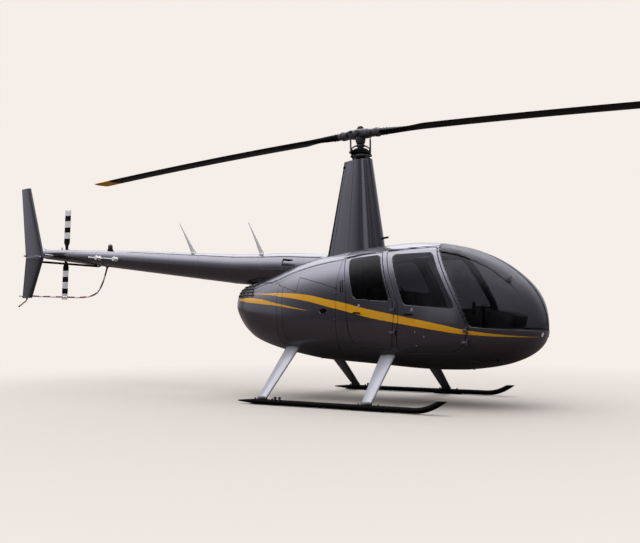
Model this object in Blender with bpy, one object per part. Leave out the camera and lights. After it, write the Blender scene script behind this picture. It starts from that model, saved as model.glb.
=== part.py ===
"""Four-seat light helicopter with a two-blade main rotor, standing on its skids.

Metres, +X to the nose, +Y to the left side, +Z up. Every measure below is taken from the
main rotor's axis and from the ground under the skids; the empty called frame then moves the
whole machine along X, so that the origin lies on the ground under the middle of its box.
"""

import math

import bmesh
import bpy
import numpy as np
from mathutils import Matrix, Vector

# Rotor and tail, from the type's own measures
ROTOR_RADIUS = 5.029
BLADE_CHORD = 0.254
BLADE_THICKNESS = 0.030
BLADE_ANGLE = math.radians(175.4)
BLADE_BASE_Z = 3.188
BLADE_TILT = 0.0345
BLADE_SAG = 0.0194
BLADE_ROOT = 0.30
BLADE_AXIS_AT = 0.32
TAIL_ROTOR_X = -5.893
TAIL_ROTOR_Y = 0.53
TAIL_ROTOR_Z = 2.07
TAIL_ROTOR_RADIUS = 0.752
TAIL_ROTOR_CHORD = 0.140
TAIL_ROTOR_LEAN = math.radians(2.0)
TAIL_HUB_RADIUS = 0.038
HUB_Z = 3.19
HUB_TOP = 3.285

# From the rotor's axis to the middle of the box, which reaches from blade tip to tail guard
FRAME_SHIFT = 0.510
GUARD_END_X = -6.039

# Fits and thicknesses
FIT = 0.0003
SEAM = 0.0006
DOOR_GAP = 0.008
DOOR_REAR_RELIEF = 0.006
WALL = 0.025
CLEAR = 0.0075
GLASS_SET_IN = 0.002
GLASS_THICKNESS = 0.006

# Landing gear
SKID_Y = 1.09
SKID_RADIUS = 0.030
SKID_TAIL_X = -1.02
SKID_HEEL = 0.26
SKID_RISE_X = 1.15
SKID_END_X = 1.445
SKID_RISE = 1.17
SKID_CUT_Z = 0.1365
STRUT_AFT_X = -0.676
STRUT_FORE_X = 0.629
STRUT_THICKNESS = 0.048
STRUT_FOOT_CHORD = 0.120
STRUT_TOP_CHORD = 0.205
STRUT_KNEE_Z = 0.086
STRUT_TOP_Z = 0.70
STRUT_LEAN = 1.227
SHOE_LENGTH = 0.36
SHOE_WIDTH = 0.040
SHOE_THICKNESS = 0.008
SHOE_SINK = 0.004

# Body: x, top z, bottom z, half width, z of the widest line, roundness above and below it
STATIONS = (
    (-1.80, 1.20, 1.06, 0.05, 1.13, 2.0, 1.85),
    (-1.785, 1.29, 0.966, 0.098, 1.13, 2.0, 1.65),
    (-1.73, 1.355, 0.896, 0.19, 1.12, 2.1, 1.42),
    (-1.60, 1.41, 0.768, 0.316, 1.10, 2.2, 1.52),
    (-1.40, 1.455, 0.675, 0.421, 1.06, 2.3, 1.95),
    (-1.05, 1.545, 0.574, 0.52, 1.02, 2.4, 2.15),
    (-0.70, 1.64, 0.51, 0.59, 1.00, 2.5, 2.4),
    (-0.40, 1.70, 0.465, 0.615, 0.98, 2.6, 2.5),
    (-0.05, 1.745, 0.442, 0.632, 0.96, 2.7, 2.6),
    (0.35, 1.79, 0.418, 0.64, 0.95, 2.8, 2.7),
    (0.75, 1.805, 0.390, 0.64, 0.94, 2.8, 2.7),
    (1.05, 1.786, 0.378, 0.637, 0.92, 2.87, 2.56),
    (1.30, 1.737, 0.382, 0.626, 0.90, 2.93, 2.44),
    (1.55, 1.650, 0.407, 0.594, 0.88, 2.99, 2.32),
    (1.75, 1.540, 0.445, 0.541, 0.866, 3.04, 2.22),
    (1.91, 1.415, 0.499, 0.465, 0.854, 3.08, 2.15),
    (2.023, 1.302, 0.557, 0.381, 0.846, 3.11, 2.09),
    (2.101, 1.191, 0.618, 0.290, 0.840, 3.13, 2.06),
    (2.145, 1.096, 0.672, 0.212, 0.836, 3.14, 2.04),
    (2.179, 0.985, 0.743, 0.112, 0.834, 3.15, 2.02),
)
TAIL_POLE = (-1.803, 1.13)
NOSE_POLE = (2.191, 0.833)
RINGS_X = (
    -1.80, -1.785, -1.73, -1.60, -1.40, -1.20, -1.0, -0.80, -0.60, -0.40, -0.20, 0.0, 0.20, 0.40,
    0.60, 0.80, 0.95, 1.10, 1.25, 1.40, 1.55, 1.68, 1.80, 1.90, 1.98, 2.05, 2.105, 2.15, 2.179,
)
RING_POINTS = 32

# Outlines of the panels as seen from the side: (x, z)
FRONT_DOOR = (
    (0.555, 1.690), (0.85, 1.706), (1.122, 1.712), (1.168, 1.620), (1.262, 1.430), (1.372, 1.200),
    (1.480, 0.960), (1.520, 0.850), (1.515, 0.750), (1.470, 0.650), (1.365, 0.590), (1.200, 0.575),
    (0.780, 0.580), (0.735, 0.620), (0.752, 0.780), (0.775, 0.950), (0.765, 1.090), (0.700, 1.280),
    (0.590, 1.600),
)
FRONT_WINDOW = (
    (0.640, 1.650), (1.086, 1.655), (1.122, 1.620), (1.400, 1.068), (1.375, 1.038), (0.855, 1.085),
    (0.825, 1.115), (0.655, 1.600),
)
REAR_DOOR = (
    (0.030, 1.640), (0.250, 1.668), (0.500, 1.686), (0.535, 1.600), (0.645, 1.280), (0.710, 1.090),
    (0.720, 0.950), (0.700, 0.780), (0.680, 0.640), (0.640, 0.600), (0.300, 0.615), (0.200, 0.680),
    (0.160, 0.800), (0.140, 1.000), (0.135, 1.150), (0.100, 1.380), (0.070, 1.500),
)
REAR_WINDOW = (
    (0.100, 1.610), (0.125, 1.632), (0.450, 1.655), (0.495, 1.630), (0.662, 1.150), (0.640, 1.130),
    (0.260, 1.160), (0.215, 1.200),
)
WINDSHIELD = (
    (1.126, 2.00), (1.126, 1.742), (1.214, 1.591), (1.307, 1.407), (1.427, 1.158), (1.530, 0.890),
    (1.562, 0.850), (1.750, 0.830), (1.971, 0.818), (2.148, 0.805), (2.40, 0.795), (2.40, 2.00),
)
ROOF_SEAM = ((0.0, 1.650), (0.250, 1.682), (0.555, 1.705), (0.85, 1.721), (1.126, 1.730))
COWL_SEAM = ((0.0, 1.285), (-0.20, 1.348), (-0.55, 1.44), (-0.56, 1.265), (-0.86, 1.360))
COWL_FOOT = ((-0.86, 0.66), (-0.45, 0.625), (0.0, 0.60))
COWL_AFT_TOP = 1.410
GRILLE_EDGE = ((-1.27, 1.225), (-1.385, 1.410))

# Tail boom: x, z of its middle, radius
BOOM = ((-1.40, 1.590, 0.210), (-1.875, 1.625, 0.195), (-3.87, 1.840, 0.140), (-5.72, 2.025, 0.075))
BOOM_WALL = 0.005

# Fins stand on the right, at the end of a short stabilizer: (leading x, trailing x, z)
FIN_Y = -0.28
FIN_HALF = 0.020
BRACE_RADIUS = 0.017
FIN_ROOT = (-5.43, -5.865, 1.955)
FIN_TOP = (-5.78, -6.000, 3.060)
FIN_FOOT = (-5.70, -5.930, 1.320)

# Door hinges: x and distance from the middle of each upright axis, then (z, x of the door's edge)
FRONT_HINGE = (1.532, 0.624)
FRONT_KNUCKLES = ((0.690, 1.484), (0.815, 1.514))
REAR_HINGE = (0.732, 0.652)
REAR_KNUCKLES = ((0.790, 0.697), (1.030, 0.709))
KNUCKLE_RADIUS = 0.010
KNUCKLE_HALF = 0.020
ARM_HALF = 0.0145
LUG_THICKNESS = 0.012

RIGHT = -1
LEFT = 1


def clear_scene():
    for obj in list(bpy.data.objects):
        bpy.data.objects.remove(obj, do_unlink=True)


def paint(name, colour, roughness, metallic=0.0, transmission=0.0):
    """A Principled material, made once for each name."""
    if name in bpy.data.materials:
        return bpy.data.materials[name]
    material = bpy.data.materials.new(name)
    material.use_nodes = True
    shader = material.node_tree.nodes["Principled BSDF"]
    shader.inputs["Base Color"].default_value = (*colour, 1.0)
    shader.inputs["Roughness"].default_value = roughness
    shader.inputs["Metallic"].default_value = metallic
    shader.inputs["Transmission Weight"].default_value = transmission
    material.diffuse_color = (*colour, 1.0)
    return material


def charcoal():
    return paint("charcoal_paint", (0.055, 0.055, 0.062), 0.25, 0.35)


def black():
    return paint("black_paint", (0.012, 0.012, 0.013), 0.35)


def red():
    return paint("red_paint", (0.25, 0.02, 0.02), 0.35)


def white():
    return paint("white_paint", (0.78, 0.78, 0.76), 0.35)


def steel():
    return paint("dark_steel", (0.16, 0.16, 0.17), 0.38, 0.9)


def alloy():
    return paint("cast_alloy", (0.42, 0.43, 0.45), 0.42, 0.9)


def tinted_glass():
    return paint("tinted_glass", (0.45, 0.47, 0.50), 0.03, 0.0, 0.9)


def leather():
    return paint("dark_leather", (0.035, 0.034, 0.036), 0.55)


def trim():
    return paint("cabin_trim", (0.07, 0.07, 0.075), 0.7)


def mesh_wire():
    return paint("mesh_wire", (0.05, 0.045, 0.045), 0.5, 0.7)


def smooth_through(xs, ys, x):
    """The height at x of a smooth line through the points, which never overshoots them."""
    xs = np.asarray(xs, float)
    ys = np.asarray(ys, float)
    step = np.diff(xs)
    slope = np.diff(ys) / step
    tangent = np.zeros_like(ys)
    for i in range(1, len(xs) - 1):
        if slope[i - 1] * slope[i] > 0:
            near = 2 * step[i] + step[i - 1]
            far = step[i] + 2 * step[i - 1]
            tangent[i] = (near + far) / (near / slope[i - 1] + far / slope[i])
    tangent[0] = slope[0]
    tangent[-1] = slope[-1]
    i = int(np.clip(np.searchsorted(xs, x) - 1, 0, len(step) - 1))
    t = (x - xs[i]) / step[i]
    first = (1 + 2 * t) * (1 - t) ** 2 * ys[i] + t * (1 - t) ** 2 * step[i] * tangent[i]
    second = t * t * (3 - 2 * t) * ys[i + 1] + t * t * (t - 1) * step[i] * tangent[i + 1]
    return float(first + second)


def body_section(x):
    """(top z, bottom z, half width, widest z, roundness above, roundness below) at x."""
    columns = list(zip(*STATIONS))
    return [smooth_through(columns[0], column, x) for column in columns[1:]]


def body_ring(x):
    """One ring of the body's outer skin: a superellipse above its widest line and one below."""
    top, bottom, half, widest, above, below = body_section(x)
    ring = []
    for k in range(RING_POINTS):
        angle = 2 * math.pi * k / RING_POINTS
        c = math.cos(angle)
        s = math.sin(angle)
        roundness = above if s >= 0 else below
        height = top - widest if s >= 0 else widest - bottom
        y = half * math.copysign(abs(c) ** (2 / roundness), c)
        z = widest + height * math.copysign(abs(s) ** (2 / roundness), s)
        ring.append((x, y, z))
    return ring


def skin(rings, start=None, end=None):
    """A closed bmesh through rings of equal length, capped by a pole or by a flat face."""
    shape = bmesh.new()
    loops = [[shape.verts.new(point) for point in ring] for ring in rings]
    for one, two in zip(loops, loops[1:]):
        for k in range(len(one)):
            after = (k + 1) % len(one)
            shape.faces.new((one[k], one[after], two[after], two[k]))
    for loop, pole, turned in ((loops[0], start, False), (loops[-1], end, True)):
        if pole is None:
            shape.faces.new(loop if turned else loop[::-1])
            continue
        tip = shape.verts.new(pole)
        for k in range(len(loop)):
            pair = (loop[k], loop[(k + 1) % len(loop)])
            shape.faces.new((*pair, tip) if turned else (*pair[::-1], tip))
    bmesh.ops.recalc_face_normals(shape, faces=shape.faces)
    return shape


def body_skin(offset):
    """The body's skin, moved outwards by offset along its normals."""
    shape = skin(
        [body_ring(x) for x in RINGS_X],
        (TAIL_POLE[0], 0.0, TAIL_POLE[1]),
        (NOSE_POLE[0], 0.0, NOSE_POLE[1]),
    )
    bmesh.ops.triangulate(shape, faces=shape.faces, quad_method="FIXED")
    shape.normal_update()
    moves = [vert.normal * offset for vert in shape.verts]
    for vert, move in zip(shape.verts, moves):
        vert.co += move
    return shape


def finish_mesh(shape, name):
    mesh = bpy.data.meshes.new(name)
    shape.to_mesh(mesh)
    shape.free()
    return mesh


def add_object(name, mesh, material=None, pivot=(0.0, 0.0, 0.0)):
    """An object whose own origin is at pivot, which its mesh is moved to fit."""
    if Vector(pivot).length > 0:
        mesh.transform(Matrix.Translation(-Vector(pivot)))
    if material is not None:
        mesh.materials.append(material)
    obj = bpy.data.objects.new(name, mesh)
    bpy.context.collection.objects.link(obj)
    obj.location = pivot
    obj.parent = bpy.data.objects["frame"]
    return obj


def hide(obj):
    obj.hide_render = True
    obj.display_type = "WIRE"
    return obj


def boolean(obj, other, operation):
    modifier = obj.modifiers.new(f"{operation.lower()} {other.name}", "BOOLEAN")
    modifier.operation = operation
    modifier.object = other
    modifier.solver = "EXACT"
    return modifier


def fuse(obj, *others):
    """Joins the others, which become hidden, onto obj as one solid."""
    for other in others:
        boolean(obj, hide(other), "UNION")
    return obj


def carve(obj, *cutters):
    for cutter in cutters:
        boolean(obj, hide(cutter), "DIFFERENCE")
    return obj


def keep_inside(obj, cutter):
    boolean(obj, hide(cutter), "INTERSECT")
    return obj


def smooth_shade(obj, degrees=35):
    obj.data.shade_smooth()
    obj.data.set_sharp_from_angle(angle=math.radians(degrees))
    return obj


def box(name, low, high, material=None):
    shape = bmesh.new()
    bmesh.ops.create_cube(shape, size=1.0)
    size = Vector(high) - Vector(low)
    middle = (Vector(high) + Vector(low)) / 2
    bmesh.ops.scale(shape, vec=size, verts=shape.verts)
    bmesh.ops.translate(shape, vec=middle, verts=shape.verts)
    return add_object(name, finish_mesh(shape, name), material)


def grown(outline, distance):
    """The outline with each side moved outwards by distance, or inwards if it is negative."""
    points = [Vector(point) for point in outline]
    area = sum(a.x * b.y - b.x * a.y for a, b in zip(points, points[1:] + points[:1]))
    turn = 1 if area > 0 else -1
    moved = []
    for k, point in enumerate(points):
        before = (point - points[k - 1]).normalized()
        after = (points[(k + 1) % len(points)] - point).normalized()
        first = Vector((before.y, -before.x)) * turn
        second = Vector((after.y, -after.x)) * turn
        middle = (first + second).normalized()
        moved.append(tuple(point + middle * distance / max(0.5, middle.dot(first))))
    return moved


def side_prism(name, outline, low, high, material=None):
    """A side-view outline (x, z), as thick as from y = low to y = high."""
    rings = [[(x, y, z) for x, z in outline] for y in (low, high)]
    return add_object(name, finish_mesh(skin(rings), name), material)


def plan_prism(name, outline, low, high, material=None):
    """An outline seen from above (x, y), from z = low to z = high."""
    rings = [[(x, y, z) for x, y in outline] for z in (low, high)]
    return add_object(name, finish_mesh(skin(rings), name), material)


def circle(centre, axis_a, axis_b, radius, count):
    centre = Vector(centre)
    step = 2 * math.pi / count
    return [
        centre + radius * (math.cos(step * k) * Vector(axis_a) + math.sin(step * k) * Vector(axis_b))
        for k in range(count)
    ]


def turned(name, axis, stations, count=16, material=None, pivot=(0.0, 0.0, 0.0)):
    """A round solid along an axis from (point on the axis, radius) stations."""
    axis = Vector(axis).normalized()
    side = axis.orthogonal().normalized()
    other = axis.cross(side)
    rings = [circle(centre, side, other, radius, count) for centre, radius in stations]
    return smooth_shade(add_object(name, finish_mesh(skin(rings), name), material, pivot))


def swept(name, points, radius, material=None, count=10):
    """A round bar along a path, with flat ends."""
    points = [Vector(point) for point in points]
    tangents = [
        (points[min(k + 1, len(points) - 1)] - points[max(k - 1, 0)]).normalized()
        for k in range(len(points))
    ]
    side = tangents[0].orthogonal().normalized()
    rings = []
    for point, tangent in zip(points, tangents):
        side = (side - tangent * side.dot(tangent)).normalized()
        rings.append(circle(point, side, tangent.cross(side), radius, count))
    return smooth_shade(add_object(name, finish_mesh(skin(rings), name), material))


def bent(points, radius, steps=4):
    """A path with each inner corner rounded by an arc of about this radius."""
    points = [Vector(point) for point in points]
    path = [points[0]]
    for before, corner, after in zip(points, points[1:], points[2:]):
        start = corner + (before - corner).normalized() * min(radius, (before - corner).length / 2)
        end = corner + (after - corner).normalized() * min(radius, (after - corner).length / 2)
        for k in range(steps + 1):
            t = k / steps
            path.append((1 - t) ** 2 * start + 2 * t * (1 - t) * corner + t * t * end)
    path.append(points[-1])
    return path


def foil(chord, thickness, count=6):
    """A symmetric aerofoil's outline, leading edge at 0, as (along the chord, across) points."""
    upper = []
    for k in range(count + 1):
        t = (1 - math.cos(math.pi * k / count)) / 2
        half = 5 * thickness * (
            0.2969 * math.sqrt(t) - 0.126 * t - 0.3516 * t**2 + 0.2843 * t**3 - 0.1036 * t**4
        )
        upper.append((t * chord, half))
    upper[-1] = (chord, thickness * 0.05)
    lower = [(along, -across) for along, across in upper[1:]]
    return upper + lower[::-1]


def body_shell(name, outer, inner, material, pivot=(0.0, 0.0, 0.0)):
    """The wall between two offsets of the body's skin, before it is cut into panels."""
    shape = body_skin(outer)
    hollow = body_skin(inner)
    bmesh.ops.reverse_faces(hollow, faces=hollow.faces)
    inside = finish_mesh(hollow, name + " hollow")
    shape.from_mesh(inside)
    bpy.data.meshes.remove(inside)
    return smooth_shade(add_object(name, finish_mesh(shape, name), material, pivot), 50)


def span(side, near=0.0, far=1.0):
    """The y range of one side of the body."""
    return (near, far) if side == LEFT else (-far, -near)


def side_name(side):
    return "left" if side == LEFT else "right"


def half_width(x, z):
    """How far the body's outer skin is from the middle at this x and height."""
    top, bottom, half, widest, above, below = body_section(x)
    if z >= widest:
        return half * (1 - ((z - widest) / (top - widest)) ** above) ** (1 / above)
    return half * (1 - ((widest - z) / (widest - bottom)) ** below) ** (1 / below)


def hinge_lugs(side, place, hinge, knuckles):
    """The pairs of lugs on the cabin that hold a door's knuckles between them."""
    x, y = hinge
    lugs = []
    for z, _ in knuckles:
        root = half_width(x, z) - 0.014
        low_y, high_y = span(side, root, y + KNUCKLE_RADIUS)
        near = KNUCKLE_HALF + FIT
        far = near + LUG_THICKNESS
        for word, bottom, top in (("upper", near, far), ("lower", -far, -near)):
            name = f"{place} {side_name(side)} {word} lug {z}"
            lugs.append(box(name, (x - 0.008, low_y, z + bottom), (x + 0.012, high_y, z + top)))
    return lugs


def hinge_arms(side, place, hinge, knuckles):
    """A door's knuckles on their axis, and the arms that carry them."""
    x, y = hinge
    parts = []
    for z, edge in knuckles:
        name = f"{place} {side_name(side)} knuckle {z}"
        root = edge - 0.030
        outline = (
            (root, half_width(root, z) - 0.012), (edge - 0.002, half_width(edge, z) + 0.006),
            (x, y - 0.0085), (x, y + 0.0085), (root, half_width(root, z) + 0.010),
        )
        ends = ((x, side * y, z - KNUCKLE_HALF), (x, side * y, z + KNUCKLE_HALF))
        parts.append(turned(name, (0, 0, 1), [(end, KNUCKLE_RADIUS) for end in ends], 12))
        arm = [(along, side * out) for along, out in outline]
        parts.append(plan_prism(name + " arm", arm, z - ARM_HALF, z + ARM_HALF))
    return parts


def make_cabin_shell():
    outline = (
        (0.0, 0.20), (2.40, 0.20), (2.40, 2.00), (ROOF_SEAM[-1][0], 2.00), *reversed(ROOF_SEAM),
    )
    shell = body_shell("cabin_shell", 0.0, -WALL, charcoal())
    keep_inside(shell, side_prism("cut cabin", grown(outline, -SEAM / 2), -1.0, 1.0))
    for side in (RIGHT, LEFT):
        low, high = span(side, 0.15)
        word = side_name(side)
        carve(
            shell,
            side_prism(f"cut front door {word}", grown(FRONT_DOOR, DOOR_GAP / 2), low, high),
            side_prism(f"cut rear door {word}", grown(REAR_DOOR, DOOR_GAP / 2), low, high),
        )
    carve(shell, side_prism("cut windshield", WINDSHIELD, -1.0, 1.0))
    for side in (RIGHT, LEFT):
        fuse(shell, *hinge_lugs(side, "front", FRONT_HINGE, FRONT_KNUCKLES))
        fuse(shell, *hinge_lugs(side, "rear", REAR_HINGE, REAR_KNUCKLES))


def make_roof():
    outline = (*ROOF_SEAM, (ROOF_SEAM[-1][0], 2.00), (0.0, 2.00))
    roof = body_shell("roof_panel", 0.0, -WALL, charcoal())
    keep_inside(roof, side_prism("cut roof", grown(outline, -SEAM / 2), -1.0, 1.0))


def make_windshield():
    post_half = 0.016
    inner = -GLASS_SET_IN - GLASS_THICKNESS
    region = grown(WINDSHIELD, -FIT)
    for side in (RIGHT, LEFT):
        name = f"windshield_{side_name(side)}"
        pane = body_shell(name, -GLASS_SET_IN, inner, tinted_glass())
        low, high = span(side, post_half + FIT)
        keep_inside(pane, side_prism(f"cut {name}", region, low, high))
    post = body_shell("windshield_post", 0.0, -WALL, black())
    keep_inside(post, side_prism("cut post", region, -post_half, post_half))


def make_door(place, side, outline, window, hinge, knuckles):
    word = side_name(side)
    name = f"{place}_door_{word}"
    pivot = (hinge[0], side * hinge[1], 0.0)
    shrunk = grown(outline, -DOOR_GAP / 2)
    first = min(x for x, z in outline)
    aft = first + 0.45 * (max(x for x, z in outline) - first)
    relieved = [(x + DOOR_REAR_RELIEF if x < aft else x, z) for x, z in shrunk]
    low, high = span(side, 0.15)
    door = body_shell(name, 0.0, -WALL, charcoal(), pivot)
    keep_inside(door, side_prism(f"cut {name}", relieved, low, high))
    carve(door, side_prism(f"cut {name} window", window, low, high))
    fuse(door, *hinge_arms(side, place, hinge, knuckles))
    pane = body_shell(
        f"{place}_window_{word}", -GLASS_SET_IN, -GLASS_SET_IN - GLASS_THICKNESS, tinted_glass(), pivot
    )
    keep_inside(pane, side_prism(f"cut {name} pane", grown(window, -FIT), low, high))


def make_cowls():
    """The engine bay's panels behind the cabin, cut round the boom."""
    aft = -2.0
    split = COWL_SEAM[-1][0]
    side_outline = (*COWL_SEAM, *COWL_FOOT)
    upper_outline = (
        (0.0, 2.0), *COWL_SEAM[:-1], (split, COWL_SEAM[-1][1]), (split - 0.05, COWL_AFT_TOP - 0.01),
        GRILLE_EDGE[1], (GRILLE_EDGE[1][0] - 0.03, 1.46), (GRILLE_EDGE[1][0] - 0.10, 2.0),
    )
    tail_outline = (
        (0.0, 0.2), *reversed(COWL_FOOT), COWL_SEAM[-1], (split - 0.05, COWL_AFT_TOP - 0.01),
        GRILLE_EDGE[1], GRILLE_EDGE[0], (aft, GRILLE_EDGE[0][1]), (aft, 0.2),
    )
    grille_outline = (
        (GRILLE_EDGE[1][0] - 0.10, 2.0), (GRILLE_EDGE[1][0] - 0.03, 1.46), GRILLE_EDGE[1],
        GRILLE_EDGE[0], (aft, GRILLE_EDGE[0][1]), (aft, 2.0),
    )
    boom_space = boom_solid("cut boom space", FIT, 0.03)
    hide(boom_space)
    upper = body_shell("upper_cowl", 0.0, -WALL, charcoal())
    keep_inside(upper, side_prism("cut upper cowl", grown(upper_outline, -SEAM / 2), -1.0, 1.0))
    carve(upper, boom_space)
    tail = body_shell("tail_cowl", 0.0, -WALL, charcoal())
    keep_inside(tail, side_prism("cut tail cowl", grown(tail_outline, -SEAM / 2), -1.0, 1.0))
    grille = body_shell("rear_grille", -0.004, -0.016, mesh_wire())
    keep_inside(grille, side_prism("cut grille", grown(grille_outline, -SEAM / 2), -1.0, 1.0))
    carve(grille, boom_space)
    for side in (RIGHT, LEFT):
        name = f"side_cowl_{side_name(side)}"
        panel = body_shell(name, 0.0, -WALL, charcoal())
        low, high = span(side, 0.15)
        keep_inside(panel, side_prism(f"cut {name}", grown(side_outline, -SEAM / 2), low, high))


def boom_solid(name, extra, ahead=0.0, material=None):
    """The boom's outer shape, made larger by extra and longer ahead of its root."""
    stations = [((x, 0.0, z), radius + extra) for x, z, radius in BOOM]
    (x, y, z), radius = stations[0]
    if ahead:
        stations.insert(0, ((x + ahead, y, z), radius))
    return turned(name, (1, 0, 0), stations[::-1], 24, material)


def make_boom():
    boom = boom_solid("tail_boom", 0.0, 0.0, charcoal())
    hollow = boom_solid("cut boom hollow", -BOOM_WALL, 0.05)
    end_x = BOOM[-1][0] + 0.02
    keep = box("cut hollow length", (end_x, -0.5, 1.0), (-1.0, 0.5, 2.5))
    keep_inside(hollow, keep)
    carve(boom, hollow)
    return boom


def make_boom_fairing():
    """The long hump between the mast fairing and the boom."""
    stations = (
        (-1.3997, 1.590, 0.210), (-1.10, 1.575, 0.220), (-0.83, 1.550, 0.228), (-0.50, 1.520, 0.226),
    )
    rings = []
    for x, z, radius in stations:
        rings.append(circle((x, 0.0, z), (0, 1, 0), (0, 0, 1), radius, 24))
    mesh = finish_mesh(skin(rings), "boom_fairing")
    fairing = smooth_shade(add_object("boom_fairing", mesh, charcoal()))
    carve(fairing, add_object("cut under fairing", finish_mesh(body_skin(FIT), "cut under fairing")))
    return fairing


def make_mast_fairing():
    """A tapered pylon with a streamlined section, cut to the roof it stands on."""
    levels = ((1.55, 0.34, -0.50, 0.30), (2.87, 0.150, -0.220, 0.165))
    count = 7
    rings = []
    for z, front, back, thickness in levels:
        outline = foil(front - back, thickness, count)
        rings.append([(front - along, across, z) for along, across in outline])
    mesh = finish_mesh(skin(rings), "mast_fairing")
    pylon = smooth_shade(add_object("mast_fairing", mesh, charcoal()))
    pitot = turned(
        "pitot",
        (1, 0, 0),
        (((0.16, 0.0, 1.90), 0.012), ((0.40, 0.0, 1.90), 0.012), ((0.46, 0.0, 1.90), 0.008)),
        8,
        steel(),
    )
    fuse(pylon, pitot)
    carve(
        pylon,
        add_object("cut under pylon", finish_mesh(body_skin(FIT), "cut under pylon")),
    )
    fairing_space = [
        circle((x, 0.0, z), (0, 1, 0), (0, 0, 1), radius + FIT, 24)
        for x, z, radius in ((-0.83, 1.550, 0.228), (-0.40, 1.511, 0.226))
    ]
    carve(pylon, add_object("cut fairing space", finish_mesh(skin(fairing_space), "cut space")))
    return pylon


def make_swashplate():
    """The fixed lower half, on top of the pylon."""
    stations = (
        ((0.0, 0.0, 2.87 + FIT), 0.060), ((0.0, 0.0, 2.895), 0.060), ((0.0, 0.0, 2.90), 0.115),
        ((0.0, 0.0, 2.925), 0.115),
    )
    turned("swashplate_lower", (0, 0, 1), stations, 20, alloy())


def blade_axes():
    along = Vector((math.cos(BLADE_ANGLE), math.sin(BLADE_ANGLE), 0.0))
    return along, Vector((-along.y, along.x, 0.0))


def make_rotor_head():
    """Mast, turning half of the swashplate, pitch links and teetering hub."""
    along, across = blade_axes()
    up = Vector((0, 0, 1))
    mast = turned(
        "rotor_head",
        up,
        (((0, 0, 2.9255), 0.038), ((0, 0, 3.255), 0.038), ((0, 0, HUB_TOP), 0.030)),
        16,
        steel(),
    )
    plate = turned("upper swashplate", up, (((0, 0, 2.932), 0.120), ((0, 0, 2.955), 0.120)), 20)
    reach = along * (BLADE_ROOT - FIT)
    hub = bar_between("hub", -reach, reach, 0.060, HUB_Z - 0.05, HUB_Z + 0.05)
    for vert in hub.data.vertices:
        vert.co.z += BLADE_TILT * along.dot(vert.co)
    parts = [plate, hub]
    for sign in (1, -1):
        reach = across * sign * 0.155
        lean = along * sign * 0.16
        link = ((reach.x, reach.y, 2.938), (reach.x, reach.y, 3.205))
        parts.append(turned(f"link {sign}", up, [(point, 0.011) for point in link], 8))
        parts.append(bar_between(f"arm {sign}", reach * 0.6, reach * 1.12, 0.02, 2.934, 2.953))
        parts.append(bar_between(f"horn {sign}", reach * 1.1, reach + lean, 0.016, 3.182, 3.204))
        parts.append(bar_between(f"horn root {sign}", reach + lean, lean * 1.05, 0.016, 3.182, 3.204))
    return fuse(mast, *parts)


def bar_between(name, start, end, half, low, high):
    """A flat bar from start to end in plan, from z = low to z = high."""
    start = Vector((start[0], start[1], 0.0))
    end = Vector((end[0], end[1], 0.0))
    along = (end - start).normalized()
    across = Vector((-along.y, along.x, 0.0))
    corners = [start - across * half, end - across * half, end + across * half, start + across * half]
    return plan_prism(name, [(c.x, c.y) for c in corners], low, high)


def make_main_blades():
    along, across = blade_axes()
    radii = (
        (BLADE_ROOT, 0.110, 0.085), (0.55, 0.115, 0.070), (0.80, 0.190, 0.045), (0.95, BLADE_CHORD, 0.032),
        *((radius, BLADE_CHORD, BLADE_THICKNESS) for radius in (1.5, 2.2, 2.9, 3.6, 4.3, ROTOR_RADIUS)),
    )
    for word, sign in (("aft", 1), ("fore", -1)):
        rings = []
        for radius, chord, thickness in radii:
            middle_z = BLADE_BASE_Z + sign * BLADE_TILT * radius - BLADE_SAG * radius**1.5
            ring = []
            for run, rise in foil(chord, thickness):
                flat = sign * along * radius + sign * across * (BLADE_AXIS_AT * chord - run)
                ring.append((flat.x, flat.y, middle_z + rise))
            rings.append(ring)
        smooth_shade(add_object(f"main_blade_{word}", finish_mesh(skin(rings), "blade"), black()))


def make_tail_rotor():
    axis = Vector((0, 1, 0))
    centre = Vector((TAIL_ROTOR_X, TAIL_ROTOR_Y, TAIL_ROTOR_Z))
    hub = turned(
        "tail_rotor_hub",
        axis,
        (
            (centre - axis * 0.099, 0.020), (centre - axis * 0.03, 0.020), (centre - axis * 0.03, TAIL_HUB_RADIUS),
            (centre + axis * 0.03, TAIL_HUB_RADIUS), (centre + axis * 0.045, 0.020),
        ),
        16,
        steel(),
        centre,
    )
    up = Vector((math.sin(TAIL_ROTOR_LEAN), 0, math.cos(TAIL_ROTOR_LEAN)))
    fore = Vector((up.z, 0, -up.x))
    radii = ((TAIL_HUB_RADIUS + FIT, 0.06, 0.030), (0.14, 0.07, 0.026), (0.20, TAIL_ROTOR_CHORD, 0.020))
    radii += ((TAIL_ROTOR_RADIUS, TAIL_ROTOR_CHORD, 0.016),)
    for word, sign in (("upper", 1), ("lower", -1)):
        rings = []
        for radius, chord, thickness in radii:
            ring = []
            for run, rise in foil(chord, thickness, 5):
                ring.append(tuple(centre + sign * up * radius + fore * sign * (chord / 2 - run) + axis * rise))
            rings.append(ring)
        mesh = finish_mesh(skin(rings), "tail blade")
        smooth_shade(add_object(f"tail_blade_{word}", mesh, white(), centre))
    return hub


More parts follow.
